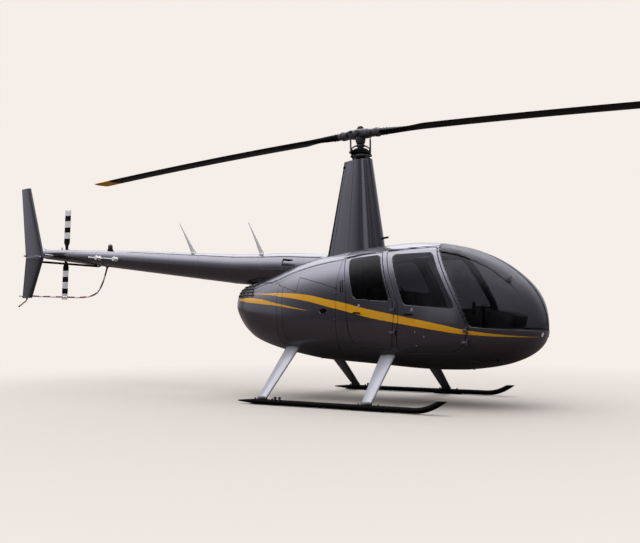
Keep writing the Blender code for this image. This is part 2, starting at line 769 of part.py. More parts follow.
def make_tail_gearbox():
    end_x, end_z, end_radius = BOOM[-1]
    case = turned(
        "tail_gearbox",
        (1, 0, 0),
        (
            ((TAIL_ROTOR_X - 0.11, 0, TAIL_ROTOR_Z), 0.045), ((TAIL_ROTOR_X - 0.08, 0, TAIL_ROTOR_Z), 0.072),
            ((TAIL_ROTOR_X + 0.07, 0, TAIL_ROTOR_Z), 0.072), ((end_x - FIT, 0, end_z), 0.060),
        ),
        16,
        alloy(),
    )
    output = turned(
        "gearbox output",
        (0, 1, 0),
        (
            ((TAIL_ROTOR_X, 0.0, TAIL_ROTOR_Z), 0.055), ((TAIL_ROTOR_X, 0.16, TAIL_ROTOR_Z), 0.050),
            ((TAIL_ROTOR_X, 0.30, TAIL_ROTOR_Z), 0.034), ((TAIL_ROTOR_X, 0.4305, TAIL_ROTOR_Z), 0.030),
        ),
        16,
    )
    return fuse(case, output)


def fin(name, lower, upper):
    rings = []
    for lead, trail, z in (lower, upper):
        outline = foil(lead - trail, FIN_HALF * 2)
        rings.append([(lead - run, FIN_Y + rise, z) for run, rise in outline])
    mesh = finish_mesh(skin(rings), name)
    return smooth_shade(add_object(name, mesh, charcoal()))


def make_fins():
    lead, trail, z = FIN_ROOT
    fin("upper_fin", (lead, trail, z + FIT), FIN_TOP)
    fin("lower_fin", FIN_FOOT, (lead, trail, z))
    stab_z = FIN_ROOT[2] + 0.030
    rings = []
    for y in (FIN_Y + FIN_HALF + FIT, -0.02):
        outline = foil(lead - trail, 0.045)
        rings.append([(lead - run, y, stab_z + rise) for run, rise in outline])
    stab = smooth_shade(add_object("stabilizer", finish_mesh(skin(rings), "stabilizer"), charcoal()))
    carve(stab, boom_solid("cut boom at stabilizer", FIT))
    case_space = turned(
        "cut case at stabilizer",
        (1, 0, 0),
        (
            ((TAIL_ROTOR_X - 0.15, 0, TAIL_ROTOR_Z), 0.075), ((TAIL_ROTOR_X + 0.07, 0, TAIL_ROTOR_Z), 0.075),
            ((BOOM[-1][0], 0, BOOM[-1][1]), 0.0755),
        ),
        24,
    )
    carve(stab, case_space)


def make_tail_tubes():
    fin_side = FIN_Y + FIN_HALF + 0.0125 + FIT
    guard = bent(
        ((-4.33, 0.0, 1.800), (-4.40, -0.01, 1.56), (-4.49, -0.015, 1.40), (-4.62, -0.03, 1.33),
         (-4.82, -0.05, 1.312),
         (-5.52, fin_side + 0.02, 1.340), (-5.70, fin_side, 1.350), (GUARD_END_X, fin_side, 1.358)),
        0.12,
    )
    guard_tube = swept("tail_guard", guard, 0.0125, red())
    carve(guard_tube, boom_solid("cut boom at guard", FIT))
    skid_y = FIN_Y
    tail_skid = bent(
        (
            (-5.82, skid_y, FIN_FOOT[2] - FIT), (-5.82, skid_y, 1.29), (-5.88, skid_y, 1.255),
            (-6.01, skid_y, 1.19),
        ),
        0.03,
    )
    swept("tail_skid", tail_skid, 0.009, steel(), 8)
    brace_y = FIN_Y + FIN_HALF + BRACE_RADIUS + FIT
    brace = ((-4.30, -0.02, 1.800), (-5.46, brace_y, 1.872), (-5.62, brace_y, 1.885))
    rod = swept("brace_rod", brace, BRACE_RADIUS, black(), 8)
    carve(rod, boom_solid("cut boom at brace", FIT))


def make_antennas():
    white_paint = white()
    for side in (RIGHT, LEFT):
        y = side * (0.135 + 0.055)
        bar = turned(
            f"nav_antenna_{side_name(side)}",
            (1, 0, 0),
            (((-4.53, y, 1.905), 0.012), ((-3.98, y, 1.850), 0.012)),
            8,
            white_paint,
        )
        posts = [
            turned(
                f"antenna post {side} {x}",
                (0, 1, 0),
                (((x, side * 0.05, z), 0.030), ((x, y, z), 0.030)),
                10,
            )
            for x, z in ((-4.371, 1.889), (-4.005, 1.853))
        ]
        fuse(bar, *posts)
        carve(bar, boom_solid(f"cut boom at antenna {side}", FIT))
    whips = (("rear", (-2.65, 1.90), (-2.90, 2.31)), ("front", (-1.47, 1.80), (-1.69, 2.23)))
    for word, (x, z), (tip_x, tip_z) in whips:
        lean = Vector((tip_x - x, 0, tip_z - z)).normalized()
        base = Vector((x, 0, z))
        tip = Vector((tip_x, 0, tip_z))
        whip = turned(
            f"whip_antenna_{word}",
            lean,
            ((base - lean * 0.02, 0.022), (base + lean * 0.04, 0.012), (tip, 0.004)),
            8,
            black(),
        )
        carve(whip, boom_solid(f"cut boom at whip {word}", FIT))
    beacon = turned(
        "beacon",
        (0, 0, 1),
        (((-4.28, 0, 1.95), 0.040), ((-4.28, 0, 2.07), 0.040), ((-4.28, 0, 2.105), 0.022)),
        14,
        black(),
    )
    carve(beacon, boom_solid("cut boom at beacon", FIT))


def skid_tube(name, y, growth, material=None):
    """A skid: a pointed heel, a straight run and a toe that curves up to a level cut."""
    middle_z = SHOE_THICKNESS + SKID_RADIUS - SHOE_SINK
    across = Vector((0, 1, 0))
    rings = []
    for x, radius in ((SKID_TAIL_X, 0.006), (SKID_TAIL_X + SKID_HEEL, SKID_RADIUS)):
        rings.append(circle(Vector((x, y, middle_z)), across, Vector((0, 0, 1)), radius + growth, 12))
    toe_steps = 6
    for k in range(toe_steps):
        x = SKID_RISE_X + (SKID_END_X - SKID_RISE_X) * k / (toe_steps - 1)
        rise = SKID_RISE * (x - SKID_RISE_X) ** 2
        slope = 2 * SKID_RISE * (x - SKID_RISE_X)
        up = Vector((-slope, 0, 1)).normalized()
        rings.append(circle(Vector((x, y, middle_z + rise)), across, up, SKID_RADIUS + growth, 12))
    ahead = Vector((1, 0, slope)).normalized()
    rings[-1] = [Vector(point) + ahead * ((SKID_CUT_Z - point[2]) / ahead.z) for point in rings[-1]]
    return smooth_shade(add_object(name, finish_mesh(skin(rings), name), material))


def make_gear():
    """Skid tubes on flat wear shoes, and the four faired struts."""
    for side in (RIGHT, LEFT):
        word = side_name(side)
        y = side * SKID_Y
        skid = skid_tube(f"skid_{word}", y, 0.0, black())
        for x in (STRUT_AFT_X, STRUT_FORE_X):
            low = (x - SHOE_LENGTH / 2, y - SHOE_WIDTH / 2, 0.0)
            high = (x + SHOE_LENGTH / 2, y + SHOE_WIDTH / 2, SHOE_THICKNESS)
            fuse(skid, box(f"shoe {word} {x}", low, high))
        for place, top_x, foot_x in (("aft", -0.694, STRUT_AFT_X), ("fore", 0.600, STRUT_FORE_X)):
            make_strut(f"strut_{place}_{word}", side, top_x, foot_x)


def make_strut(name, side, top_x, foot_x):
    """One faired leg, straight from the belly down onto the skid tube."""
    knee = SKID_Y - 0.020
    levels = (
        (foot_x, SKID_Y + 0.004, 0.045, STRUT_FOOT_CHORD), (foot_x, knee, STRUT_KNEE_Z, STRUT_FOOT_CHORD),
        (top_x, knee - STRUT_LEAN * (STRUT_TOP_Z - STRUT_KNEE_Z), STRUT_TOP_Z, STRUT_TOP_CHORD),
    )
    rings = []
    for x, out, z, width in levels:
        outline = foil(width, STRUT_THICKNESS)
        rings.append(
            [(x + 0.4 * width - run, side * (out + 0.9 * rise), z + 0.4 * rise) for run, rise in outline]
        )
    strut = smooth_shade(add_object(name, finish_mesh(skin(rings), name), charcoal()))
    carve(strut, add_object(f"cut belly {name}", finish_mesh(body_skin(FIT), "cut belly")))
    carve(strut, skid_tube(f"cut skid {name}", side * SKID_Y, FIT))


def make_cabin_structure():
    """Floor, firewall and the two seat boxes, riveted together as one sheet-metal piece."""
    floor = box("cabin_structure", (-0.05, -0.9, 0.470), (1.80, 0.9, 0.490), trim())
    keep_inside(floor, add_object("cut floor room", finish_mesh(body_skin(-WALL - FIT), "room")))
    blocks = box("blocks", (-0.0285, -0.9, 0.480), (-0.0015, 0.9, 1.90))
    rear_box = box("rear seat box", (-0.02, -0.56, 0.480), (0.50, 0.56, 0.740))
    front_box = box("front seat box", (0.74, -0.56, 0.480), (1.16, 0.56, 0.740))
    fuse(blocks, rear_box, front_box)
    keep_inside(blocks, add_object("cut room", finish_mesh(body_skin(-WALL - CLEAR), "room")))
    fuse(floor, blocks)
    return floor


def make_engine():
    block = box("engine_block", (-0.90, -0.33, 0.70), (-0.0288, 0.33, 1.12), alloy())
    return block


def make_seats():
    """Each seat is one cushion and one backrest, as a single padded solid."""
    shapes = {
        "front": ((0.745, 0.7405), (1.20, 0.7405), (1.21, 0.84), (0.80, 0.835), (0.70, 1.275), (0.58, 1.285),
                  (0.66, 0.80)),
        "rear": ((0.006, 0.7405), (0.53, 0.7405), (0.54, 0.85), (0.16, 0.845), (0.10, 1.34), (0.004, 1.34)),
    }
    for place, outline in shapes.items():
        for side in (RIGHT, LEFT):
            low, high = span(side, 0.035, 0.515)
            side_prism(f"{place}_seat_{side_name(side)}", outline, low, high, leather())


def make_controls():
    console = box("instrument_console", (1.60, -0.10, 0.4903), (1.78, 0.10, 0.90), trim())
    head = side_prism("console head", ((1.60, 0.78), (1.90, 0.84), (1.93, 0.96), (1.66, 1.03)), -0.24, 0.24)
    fuse(console, head)
    post = turned(
        "cyclic_bar", (0, 0, 1), (((1.50, 0, 0.4903), 0.020), ((1.50, 0, 1.07), 0.014)), 10, steel()
    )
    bar = turned("cyclic cross", (0, 1, 0), (((1.50, -0.30, 1.06), 0.013), ((1.50, 0.30, 1.06), 0.013)), 8)
    grips = [
        turned(
            f"grip {side}",
            (0, 0, 1),
            (((1.49, side * 0.29, 0.98), 0.019), ((1.50, side * 0.29, 1.12), 0.019)),
            8,
        )
        for side in (RIGHT, LEFT)
    ]
    fuse(post, bar, *grips)


def main():
    clear_scene()
    frame = bpy.data.objects.new("frame", None)
    bpy.context.collection.objects.link(frame)
    frame.location.x = FRAME_SHIFT
    make_cabin_shell()
    make_roof()
    make_windshield()
    for side in (RIGHT, LEFT):
        make_door("front", side, FRONT_DOOR, FRONT_WINDOW, FRONT_HINGE, FRONT_KNUCKLES)
        make_door("rear", side, REAR_DOOR, REAR_WINDOW, REAR_HINGE, REAR_KNUCKLES)
    make_cowls()
    make_boom()
    make_boom_fairing()
    make_mast_fairing()
    make_swashplate()
    make_rotor_head()
    make_main_blades()
    make_tail_gearbox()
    make_tail_rotor()
    make_fins()
    make_tail_tubes()
    make_antennas()
    make_gear()
    make_cabin_structure()
    make_engine()
    make_seats()
    make_controls()


main()
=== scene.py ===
"""Looks of the four-seat light helicopter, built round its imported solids.

Metres, +X to the nose, +Y to the left side, +Z up. Pieces are drawn from the main rotor's axis,
as the solids were, and each finished mesh is moved by SHIFT along X into the frame.
"""

import math

import bmesh
import bpy
import numpy as np
from mathutils import Matrix, Vector


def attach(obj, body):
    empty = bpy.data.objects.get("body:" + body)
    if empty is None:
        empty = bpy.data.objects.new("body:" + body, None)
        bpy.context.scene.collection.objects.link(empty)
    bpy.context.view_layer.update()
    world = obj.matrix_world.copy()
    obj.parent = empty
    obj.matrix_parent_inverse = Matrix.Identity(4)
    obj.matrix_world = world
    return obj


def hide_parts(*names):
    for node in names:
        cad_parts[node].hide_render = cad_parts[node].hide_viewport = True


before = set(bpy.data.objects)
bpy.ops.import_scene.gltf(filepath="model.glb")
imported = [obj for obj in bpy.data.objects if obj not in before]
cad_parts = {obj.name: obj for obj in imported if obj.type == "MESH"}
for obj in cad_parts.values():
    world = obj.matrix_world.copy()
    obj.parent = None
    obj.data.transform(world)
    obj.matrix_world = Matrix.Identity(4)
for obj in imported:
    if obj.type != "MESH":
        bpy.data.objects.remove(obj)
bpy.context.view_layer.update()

SHIFT = 0.510
RIGHT = -1
LEFT = 1
ROOT = "airframe"

# Body: x, top z, bottom z, half width, z of the widest line, roundness above and below it
STATIONS = (
    (-1.80, 1.20, 1.06, 0.05, 1.13, 2.0, 1.85), (-1.785, 1.29, 0.966, 0.098, 1.13, 2.0, 1.65),
    (-1.73, 1.355, 0.896, 0.19, 1.12, 2.1, 1.42), (-1.60, 1.41, 0.768, 0.316, 1.10, 2.2, 1.52),
    (-1.40, 1.455, 0.675, 0.421, 1.06, 2.3, 1.95), (-1.05, 1.545, 0.574, 0.52, 1.02, 2.4, 2.15),
    (-0.70, 1.64, 0.51, 0.59, 1.00, 2.5, 2.4), (-0.40, 1.70, 0.465, 0.615, 0.98, 2.6, 2.5),
    (-0.05, 1.745, 0.442, 0.632, 0.96, 2.7, 2.6), (0.35, 1.79, 0.418, 0.64, 0.95, 2.8, 2.7),
    (0.75, 1.805, 0.390, 0.64, 0.94, 2.8, 2.7), (1.05, 1.786, 0.378, 0.637, 0.92, 2.87, 2.56),
    (1.30, 1.737, 0.382, 0.626, 0.90, 2.93, 2.44), (1.55, 1.650, 0.407, 0.594, 0.88, 2.99, 2.32),
    (1.75, 1.540, 0.445, 0.541, 0.866, 3.04, 2.22), (1.91, 1.415, 0.499, 0.465, 0.854, 3.08, 2.15),
    (2.023, 1.302, 0.557, 0.381, 0.846, 3.11, 2.09), (2.101, 1.191, 0.618, 0.290, 0.840, 3.13, 2.06),
    (2.145, 1.096, 0.672, 0.212, 0.836, 3.14, 2.04), (2.179, 0.985, 0.743, 0.112, 0.834, 3.15, 2.02),
)
TAIL_POLE = (-1.803, 1.13)
NOSE_POLE = (2.191, 0.833)

# Outlines of the panels as seen from the side: (x, z)
FRONT_DOOR = (
    (0.555, 1.690), (0.85, 1.706), (1.122, 1.712), (1.168, 1.620), (1.262, 1.430), (1.372, 1.200),
    (1.480, 0.960), (1.520, 0.850), (1.515, 0.750), (1.470, 0.650), (1.365, 0.590), (1.200, 0.575),
    (0.780, 0.580), (0.735, 0.620), (0.752, 0.780), (0.775, 0.950), (0.765, 1.090), (0.700, 1.280),
    (0.590, 1.600),
)
FRONT_WINDOW = (
    (0.640, 1.650), (1.086, 1.655), (1.122, 1.620), (1.400, 1.068), (1.375, 1.038), (0.855, 1.085),
    (0.825, 1.115), (0.655, 1.600),
)
REAR_DOOR = (
    (0.030, 1.640), (0.250, 1.668), (0.500, 1.686), (0.535, 1.600), (0.645, 1.280), (0.710, 1.090),
    (0.720, 0.950), (0.700, 0.780), (0.680, 0.640), (0.640, 0.600), (0.300, 0.615), (0.200, 0.680),
    (0.160, 0.800), (0.140, 1.000), (0.135, 1.150), (0.100, 1.380), (0.070, 1.500),
)
REAR_WINDOW = (
    (0.100, 1.610), (0.125, 1.632), (0.450, 1.655), (0.495, 1.630), (0.662, 1.150), (0.640, 1.130),
    (0.260, 1.160), (0.215, 1.200),
)
WINDSHIELD = (
    (1.126, 2.00), (1.126, 1.742), (1.214, 1.591), (1.307, 1.407), (1.427, 1.158), (1.530, 0.890),
    (1.562, 0.850), (1.750, 0.830), (1.971, 0.818), (2.148, 0.805), (2.40, 0.795), (2.40, 2.00),
)
ROOF_SEAM = ((0.0, 1.650), (0.250, 1.682), (0.555, 1.705), (0.85, 1.721), (1.126, 1.730))
COWL_SEAM = ((0.0, 1.285), (-0.20, 1.348), (-0.55, 1.44), (-0.56, 1.265), (-0.86, 1.360))
COWL_FOOT = ((-0.86, 0.66), (-0.45, 0.625), (0.0, 0.60))
COWL_AFT_TOP = 1.410
GRILLE_EDGE = ((-1.27, 1.225), (-1.385, 1.410))
DOOR_INNER_Y = 0.15
DOOR_GAP = 0.0065
SEAM_GAP = 0.0035
PANE_GAP = 0.0004
DOOR_CORNER = 0.012
WINDOW_CORNER = 0.028
WALL = -0.0245
POST_HALF = 0.0158
PANE_INNER_Y = 0.0165
ABOVE_ALL = 2.2
BEHIND_ALL = -2.5

BOOM = ((-1.40, 1.590, 0.210), (-1.875, 1.625, 0.195), (-3.87, 1.840, 0.140), (-5.72, 2.025, 0.075))

# Stripes along the side: (x, z of the middle, half width)
MAIN_STRIPE = (
    (-1.60, 1.262, 0.0), (-1.243, 1.263, 0.003), (-0.775, 1.236, 0.023), (-0.41, 1.191, 0.036),
    (-0.103, 1.124, 0.042), (0.058, 1.090, 0.044), (0.414, 1.003, 0.045), (0.797, 0.929, 0.042),
    (1.216, 0.850, 0.035), (1.568, 0.789, 0.020), (2.129, 0.744, 0.002), (2.20, 0.742, 0.0),
)
SECOND_STRIPE = (
    (-1.66, 1.20, 0.0), (-1.484, 1.195, 0.020), (-1.292, 1.182, 0.030), (-0.909, 1.131, 0.017),
    (-0.419, 1.050, 0.002), (-0.35, 1.040, 0.0),
)


def smooth_through(xs, ys, x):
    """Heights at x (an array) of a smooth line through the points, which never overshoots them."""
    xs = np.asarray(xs, float)
    ys = np.asarray(ys, float)
    x = np.atleast_1d(np.asarray(x, float))
    step = np.diff(xs)
    slope = np.diff(ys) / step
    tangent = np.zeros_like(ys)
    for i in range(1, len(xs) - 1):
        if slope[i - 1] * slope[i] > 0:
            near = 2 * step[i] + step[i - 1]
            far = step[i] + 2 * step[i - 1]
            tangent[i] = (near + far) / (near / slope[i - 1] + far / slope[i])
    tangent[0] = slope[0]
    tangent[-1] = slope[-1]
    i = np.clip(np.searchsorted(xs, x) - 1, 0, len(step) - 1)
    t = (x - xs[i]) / step[i]
    first = (1 + 2 * t) * (1 - t) ** 2 * ys[i] + t * (1 - t) ** 2 * step[i] * tangent[i]
    second = t * t * (3 - 2 * t) * ys[i + 1] + t * t * (t - 1) * step[i] * tangent[i + 1]
    return first + second


def body_section(x):
    columns = list(zip(*STATIONS))
    return [smooth_through(columns[0], column, x) for column in columns[1:]]


def half_width(x, z):
    """How far the body's outer skin is from the middle at this x and height."""
    top, bottom, half, widest, above, below = (float(value[0]) for value in body_section(x))
    share = (z - widest) / (top - widest) if z >= widest else (widest - z) / (widest - bottom)
    roundness = above if z >= widest else below
    return half * max(0.0, 1 - share**roundness) ** (1 / roundness)


def ring_at(section, count):
    """One ring of the skin, its points evenly spaced along it; starts at the top, goes to +Y."""
    top, bottom, half, widest, above, below = section
    angle = np.linspace(0, 2 * math.pi, 1441)[:-1]
    c = np.sin(angle)
    s = np.cos(angle)
    roundness = np.where(s >= 0, above, below)
    height = np.where(s >= 0, top - widest, widest - bottom)
    y = half * np.sign(c) * np.abs(c) ** (2 / roundness)
    z = widest + height * np.sign(s) * np.abs(s) ** (2 / roundness)
    loop_y = np.append(y, y[0])
    loop_z = np.append(z, z[0])
    run = np.append(0.0, np.cumsum(np.hypot(np.diff(loop_y), np.diff(loop_z))))
    even = np.linspace(0, run[-1], count + 1)[:-1]
    return np.interp(even, run, loop_y), np.interp(even, run, loop_z)


def fine_skin():
    """The body's skin as a fine grid: points and outward normals."""
    ends = np.array([-1.8029, -1.802, -1.80, -1.796, -1.79, -1.78, -1.765, -1.75])
    tail = TAIL_POLE[0]
    middle = np.arange(-1.735, 2.095, 0.0195)
    nose = np.array([2.105, 2.12, 2.135, 2.147, 2.158, 2.167, 2.174, 2.179, 2.1835, 2.187, 2.1893, 2.1905])
    xs = np.concatenate([ends, middle, nose])
    first = STATIONS[0][0]
    last = STATIONS[-1][0]
    rings = []
    for x in xs:
        if x < first:
            section = [float(v[0]) for v in body_section(first)]
            share = math.sqrt(max(0.0, (x - tail) / (first - tail)))
            pole = TAIL_POLE[1]
        elif x > last:
            section = [float(v[0]) for v in body_section(last)]
            share = math.sqrt(max(0.0, (NOSE_POLE[0] - x) / (NOSE_POLE[0] - last)))
            pole = NOSE_POLE[1]
        else:
            section = [float(v[0]) for v in body_section(x)]
            share = 1.0
            pole = 0.0
        y, z = ring_at(section, SKIN_AROUND)
        if share < 1.0:
            y = y * share
            z = pole + (z - pole) * share
        rings.append(np.stack([np.full_like(y, x), y, z], -1))
    points = np.array(rings)
    along = np.gradient(points, axis=0)
    around = np.roll(points, -1, axis=1) - np.roll(points, 1, axis=1)
    normals = np.cross(around, along)
    normals /= np.linalg.norm(normals, axis=-1, keepdims=True) + 1e-12
    centre = np.array([0.2, 0.0, 1.0])
    if np.sum(normals[len(xs) // 2, 0] * (points[len(xs) // 2, 0] - centre)) < 0:
        normals = -normals
    return points, normals


SKIN_AROUND = 180
SKIN, SKIN_NORMALS = fine_skin()


def polygon_distance(outline, x, z):
    """Signed distance to a closed outline in the side view, negative inside."""
    nearest = np.full(x.shape, 1e9)
    inside = np.zeros(x.shape, bool)
    points = list(outline)
    for (x1, z1), (x2, z2) in zip(points, points[1:] + points[:1]):
        dx = x2 - x1
        dz = z2 - z1
        t = np.clip(((x - x1) * dx + (z - z1) * dz) / (dx * dx + dz * dz), 0, 1)
        nearest = np.minimum(nearest, np.hypot(x - x1 - t * dx, z - z1 - t * dz))
        crosses = (z1 > z) != (z2 > z)
        if dz:
            inside ^= crosses & (x < x1 + (z - z1) * dx / dz)
    return np.where(inside, -nearest, nearest)


def grown(outline, distance):
    """The outline with each side moved outwards by distance, or inwards if it is negative."""
    points = [Vector(point) for point in outline]
    area = sum(a.x * b.y - b.x * a.y for a, b in zip(points, points[1:] + points[:1]))
    turn = 1 if area > 0 else -1
    moved = []
    for k, point in enumerate(points):
        before = (point - points[k - 1]).normalized()
        after = (points[(k + 1) % len(points)] - point).normalized()
        first = Vector((before.y, -before.x)) * turn
        second = Vector((after.y, -after.x)) * turn
        middle = (first + second).normalized()
        moved.append(tuple(point + middle * distance / max(0.5, middle.dot(first))))
    return moved


def rounded(outline, radius, x, z):
    """Distance to the outline with its corners rounded."""
    return polygon_distance(grown(outline, -radius), x, z) - radius


def boom_distance(points, extra):
    """How far points lie outside the tail boom and its fairing."""
    xs, zs, rs = (list(column)[::-1] for column in zip(*BOOM_SPACE))
    z = np.interp(points[..., 0], xs, zs)
    radius = np.interp(points[..., 0], xs, rs)
    return np.hypot(points[..., 1], points[..., 2] - z) - radius - extra


BOOM_SPACE = ((-0.50, 1.520, 0.226), (-0.83, 1.550, 0.228), (-1.10, 1.575, 0.220), *BOOM)


def clipped_skin(field):
    """The part of the fine skin where field is negative: points, normals and faces."""
    rows, columns = field.shape
    keys = {}
    points = []
    normals = []

    def corner(i, j):
        key = (i, j)
        if key not in keys:
            keys[key] = len(points)
            points.append(SKIN[i, j])
            normals.append(SKIN_NORMALS[i, j])
        return keys[key]

    def crossing(one, two):
        key = (one, two) if one < two else (two, one)
        if key not in keys:
            a, b = key
            t = field[a] / (field[a] - field[b])
            t = min(max(t, 0.001), 0.999)
            keys[key] = len(points)
            points.append(SKIN[a] + (SKIN[b] - SKIN[a]) * t)
            normal = SKIN_NORMALS[a] + (SKIN_NORMALS[b] - SKIN_NORMALS[a]) * t
            normals.append(normal / np.linalg.norm(normal))
        return keys[key]

    faces = []
    inside = field < 0
    for i in range(rows - 1):
        for j in range(columns):
            k = (j + 1) % columns
            quad = ((i, j), (i, k), (i + 1, k), (i + 1, j))
            count = sum(inside[c] for c in quad)
            if count == 0:
                continue
            if count == 4:
                faces.append([corner(*c) for c in quad])
                continue
            for tri in ((quad[0], quad[1], quad[2]), (quad[0], quad[2], quad[3])):
                loop = []
                for a, b in zip(tri, tri[1:] + tri[:1]):
                    if inside[a]:
                        loop.append(corner(*a))
                    if inside[a] != inside[b]:
                        loop.append(crossing(a, b))
                if len(loop) > 2:
                    faces.append(loop)
    for row, turned in ((0, False), (rows - 1, True)):
        if inside[row].all():
            loop = [corner(row, j) for j in range(columns)]
            faces.append(loop if turned else loop[::-1])
    return np.array(points), np.array(normals), faces


def skin_panel(name, field, outer, inner, material, lip=0.0015, lining=None):
    """A wall between two depths under the skin, where field is negative, with eased edges."""
    points, normals, faces = clipped_skin(field)
    count = len(points)
    use = {}
    for face in faces:
        for a, b in zip(face, face[1:] + face[:1]):
            use[(a, b)] = use.get((a, b), 0) + 1
    edges = [(a, b) for a, b in use if (b, a) not in use]
    layers = [outer, outer - lip, inner]
    verts = [points + normals * layers[0], points + normals * layers[2]]
    all_faces = list(faces) + [[v + count for v in face[::-1]] for face in faces]
    flip = np.dot(face_normal(points, faces[0]), normals[faces[0][0]]) < 0
    rim = {}
    rim_points = []
    inset = {}
    for a, b in edges:
        direction = points[b] - points[a]
        sideways = np.cross(direction, normals[a])
        for v in (a, b):
            inset.setdefault(v, np.zeros(3))
            inset[v] = inset[v] + sideways
    for v, sideways in inset.items():
        length = np.linalg.norm(sideways)
        sideways = sideways / length if length > 1e-9 else sideways
        if flip:
            sideways = -sideways
        rim[v] = 2 * count + len(rim_points)
        rim_points.append(points[v] + normals[v] * layers[1])
        verts[0][v] = verts[0][v] - sideways * lip
    for a, b in edges:
        all_faces.append([b, a, rim[a], rim[b]])
        all_faces.append([rim[b], rim[a], a + count, b + count])
    verts = np.concatenate([verts[0], verts[1], np.array(rim_points).reshape(-1, 3)])
    if flip:
        all_faces = [face[::-1] for face in all_faces]
    mesh = bpy.data.meshes.new(name)
    mesh.from_pydata([tuple(v) for v in verts], [], all_faces)
    mesh.materials.append(material)
    if lining is not None:
        mesh.materials.append(lining)
        for polygon in mesh.polygons[len(faces): 2 * len(faces)]:
            polygon.material_index = 1
    mesh.shade_smooth()
    mesh.set_sharp_from_angle(angle=math.radians(30))
    wanted = [tuple(corner.vector) for corner in mesh.corner_normals]
    sheet = len(faces)
    for polygon in mesh.polygons[: 2 * sheet]:
        sign = 1 if polygon.index < sheet else -1
        for loop_index in polygon.loop_indices:
            vertex = mesh.loops[loop_index].vertex_index
            wanted[loop_index] = tuple(normals[vertex % count] * sign)
    mesh.normals_split_custom_set(wanted)
    obj = bpy.data.objects.new(name, mesh)
    bpy.context.scene.collection.objects.link(obj)
    return obj


def face_normal(points, face):
    a, b, c = (points[face[k]] for k in (0, 1, 2))
    return np.cross(b - a, c - a)


# Meshes of single pieces


def place(obj):
    """Moves a piece that was drawn from the rotor's axis into the frame."""
    obj.data.transform(Matrix.Translation((SHIFT, 0.0, 0.0)))
    return obj


def finish_piece(obj, body, *nodes, slot=None):
    place(obj)
    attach(obj, body)
    if nodes:
        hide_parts(*nodes)
    return obj


def joined(name, parts, material, smooth=35, bevel=0.0, subdivide=0, segments=2):
    """One mesh object from (points, faces) parts, each a closed shape."""
    mesh = bpy.data.meshes.new(name)
    verts = []
    faces = []
    marks = []
    for part in parts:
        points, loops = part[:2]
        base = len(verts)
        verts.extend(tuple(point) for point in points)
        faces.extend([v + base for v in loop] for loop in loops)
        marks.extend([part[2] if len(part) > 2 else 0] * len(loops))
    mesh.from_pydata(verts, [], faces)
    materials = material if isinstance(material, (list, tuple)) else [material]
    for one in materials:
        mesh.materials.append(one)
    mesh.polygons.foreach_set("material_index", marks)
    mesh.validate()
    shape = bmesh.new()
    shape.from_mesh(mesh)
    bmesh.ops.recalc_face_normals(shape, faces=shape.faces)
    shape.to_mesh(mesh)
    shape.free()
    obj = bpy.data.objects.new(name, mesh)
    bpy.context.scene.collection.objects.link(obj)
    if bevel:
        modifier = obj.modifiers.new("eased edges", "BEVEL")
        modifier.width = bevel
        modifier.segments = segments
        modifier.limit_method = "ANGLE"
        modifier.angle_limit = math.radians(38)
    if subdivide:
        modifier = obj.modifiers.new("smooth", "SUBSURF")
        modifier.levels = subdivide
        modifier.render_levels = subdivide
    if bevel or subdivide:
        apply_modifiers(obj)
    obj.data.shade_smooth()
    if smooth < 180:
        obj.data.set_sharp_from_angle(angle=math.radians(smooth))
    return obj


def apply_modifiers(obj):
    graph = bpy.context.evaluated_depsgraph_get()
    made = bpy.data.meshes.new_from_object(obj.evaluated_get(graph))
    obj.modifiers.clear()
    old = obj.data
    obj.data = made
    made.name = obj.name
    bpy.data.meshes.remove(old)


def loft(rings, mark=0):
    """A closed shape through rings of equal length."""
    count = len(rings[0])
    points = [point for ring in rings for point in ring]
    faces = []
    for r in range(len(rings) - 1):
        for k in range(count):
            after = (k + 1) % count
            faces.append([r * count + k, r * count + after, (r + 1) * count + after, (r + 1) * count + k])
    faces.append(list(range(count))[::-1])
    faces.append([(len(rings) - 1) * count + k for k in range(count)])
    return points, faces, mark


def circle(centre, axis_a, axis_b, radius, count):
    centre = Vector(centre)
    a = Vector(axis_a)
    b = Vector(axis_b)
    step = 2 * math.pi / count
    return [centre + radius * (math.cos(step * k) * a + math.sin(step * k) * b) for k in range(count)]


def full_turn(count):
    """Evenly spaced angles all the way round."""
    return [2 * math.pi * n / count for n in range(count)]


def across_axes(axis):
    axis = Vector(axis).normalized()
    side = Vector((0, 0, 1)).cross(axis)
    side = side.normalized() if side.length > 1e-3 else Vector((1, 0, 0))
    return side, axis.cross(side)


def lathe(axis, stations, count=32, mark=0):
    """A round shape from (point on its axis, radius) stations."""
    side, other = across_axes(axis)
    return loft([circle(point, side, other, radius, count) for point, radius in stations], mark)


def spun(base, axis, profile, count=32, mark=0):
    """A round shape from (distance along the axis from the base, radius) pairs."""
    base = Vector(base)
    axis = Vector(axis)
    return lathe(axis, [(base + axis * along, radius) for along, radius in profile], count, mark)


def rod(start, end, radius, count=16, mark=0, end_radius=None):
    start = Vector(start)
    end = Vector(end)
    return lathe(end - start, ((start, radius), (end, end_radius or radius)), count, mark)


def pin(centre, half, radius, count=16, mark=0):
    """A rod that reaches as far as the vector half to both sides of its centre."""
    return rod(centre - half, centre + half, radius, count, mark)


def tube(path, radius, count=16, mark=0):
    """A round bar along a path; radius is a number or one for each point."""
    path = [Vector(point) for point in path]
    radii = radius if isinstance(radius, (list, tuple)) else [radius] * len(path)
    tangents = [
        (path[min(k + 1, len(path) - 1)] - path[max(k - 1, 0)]).normalized() for k in range(len(path))
    ]
    side, _ = across_axes(tangents[0])
    rings = []
    for point, tangent, size in zip(path, tangents, radii):
        side = (side - tangent * side.dot(tangent)).normalized()
        rings.append(circle(point, side, tangent.cross(side), size, count))
    return loft(rings, mark)


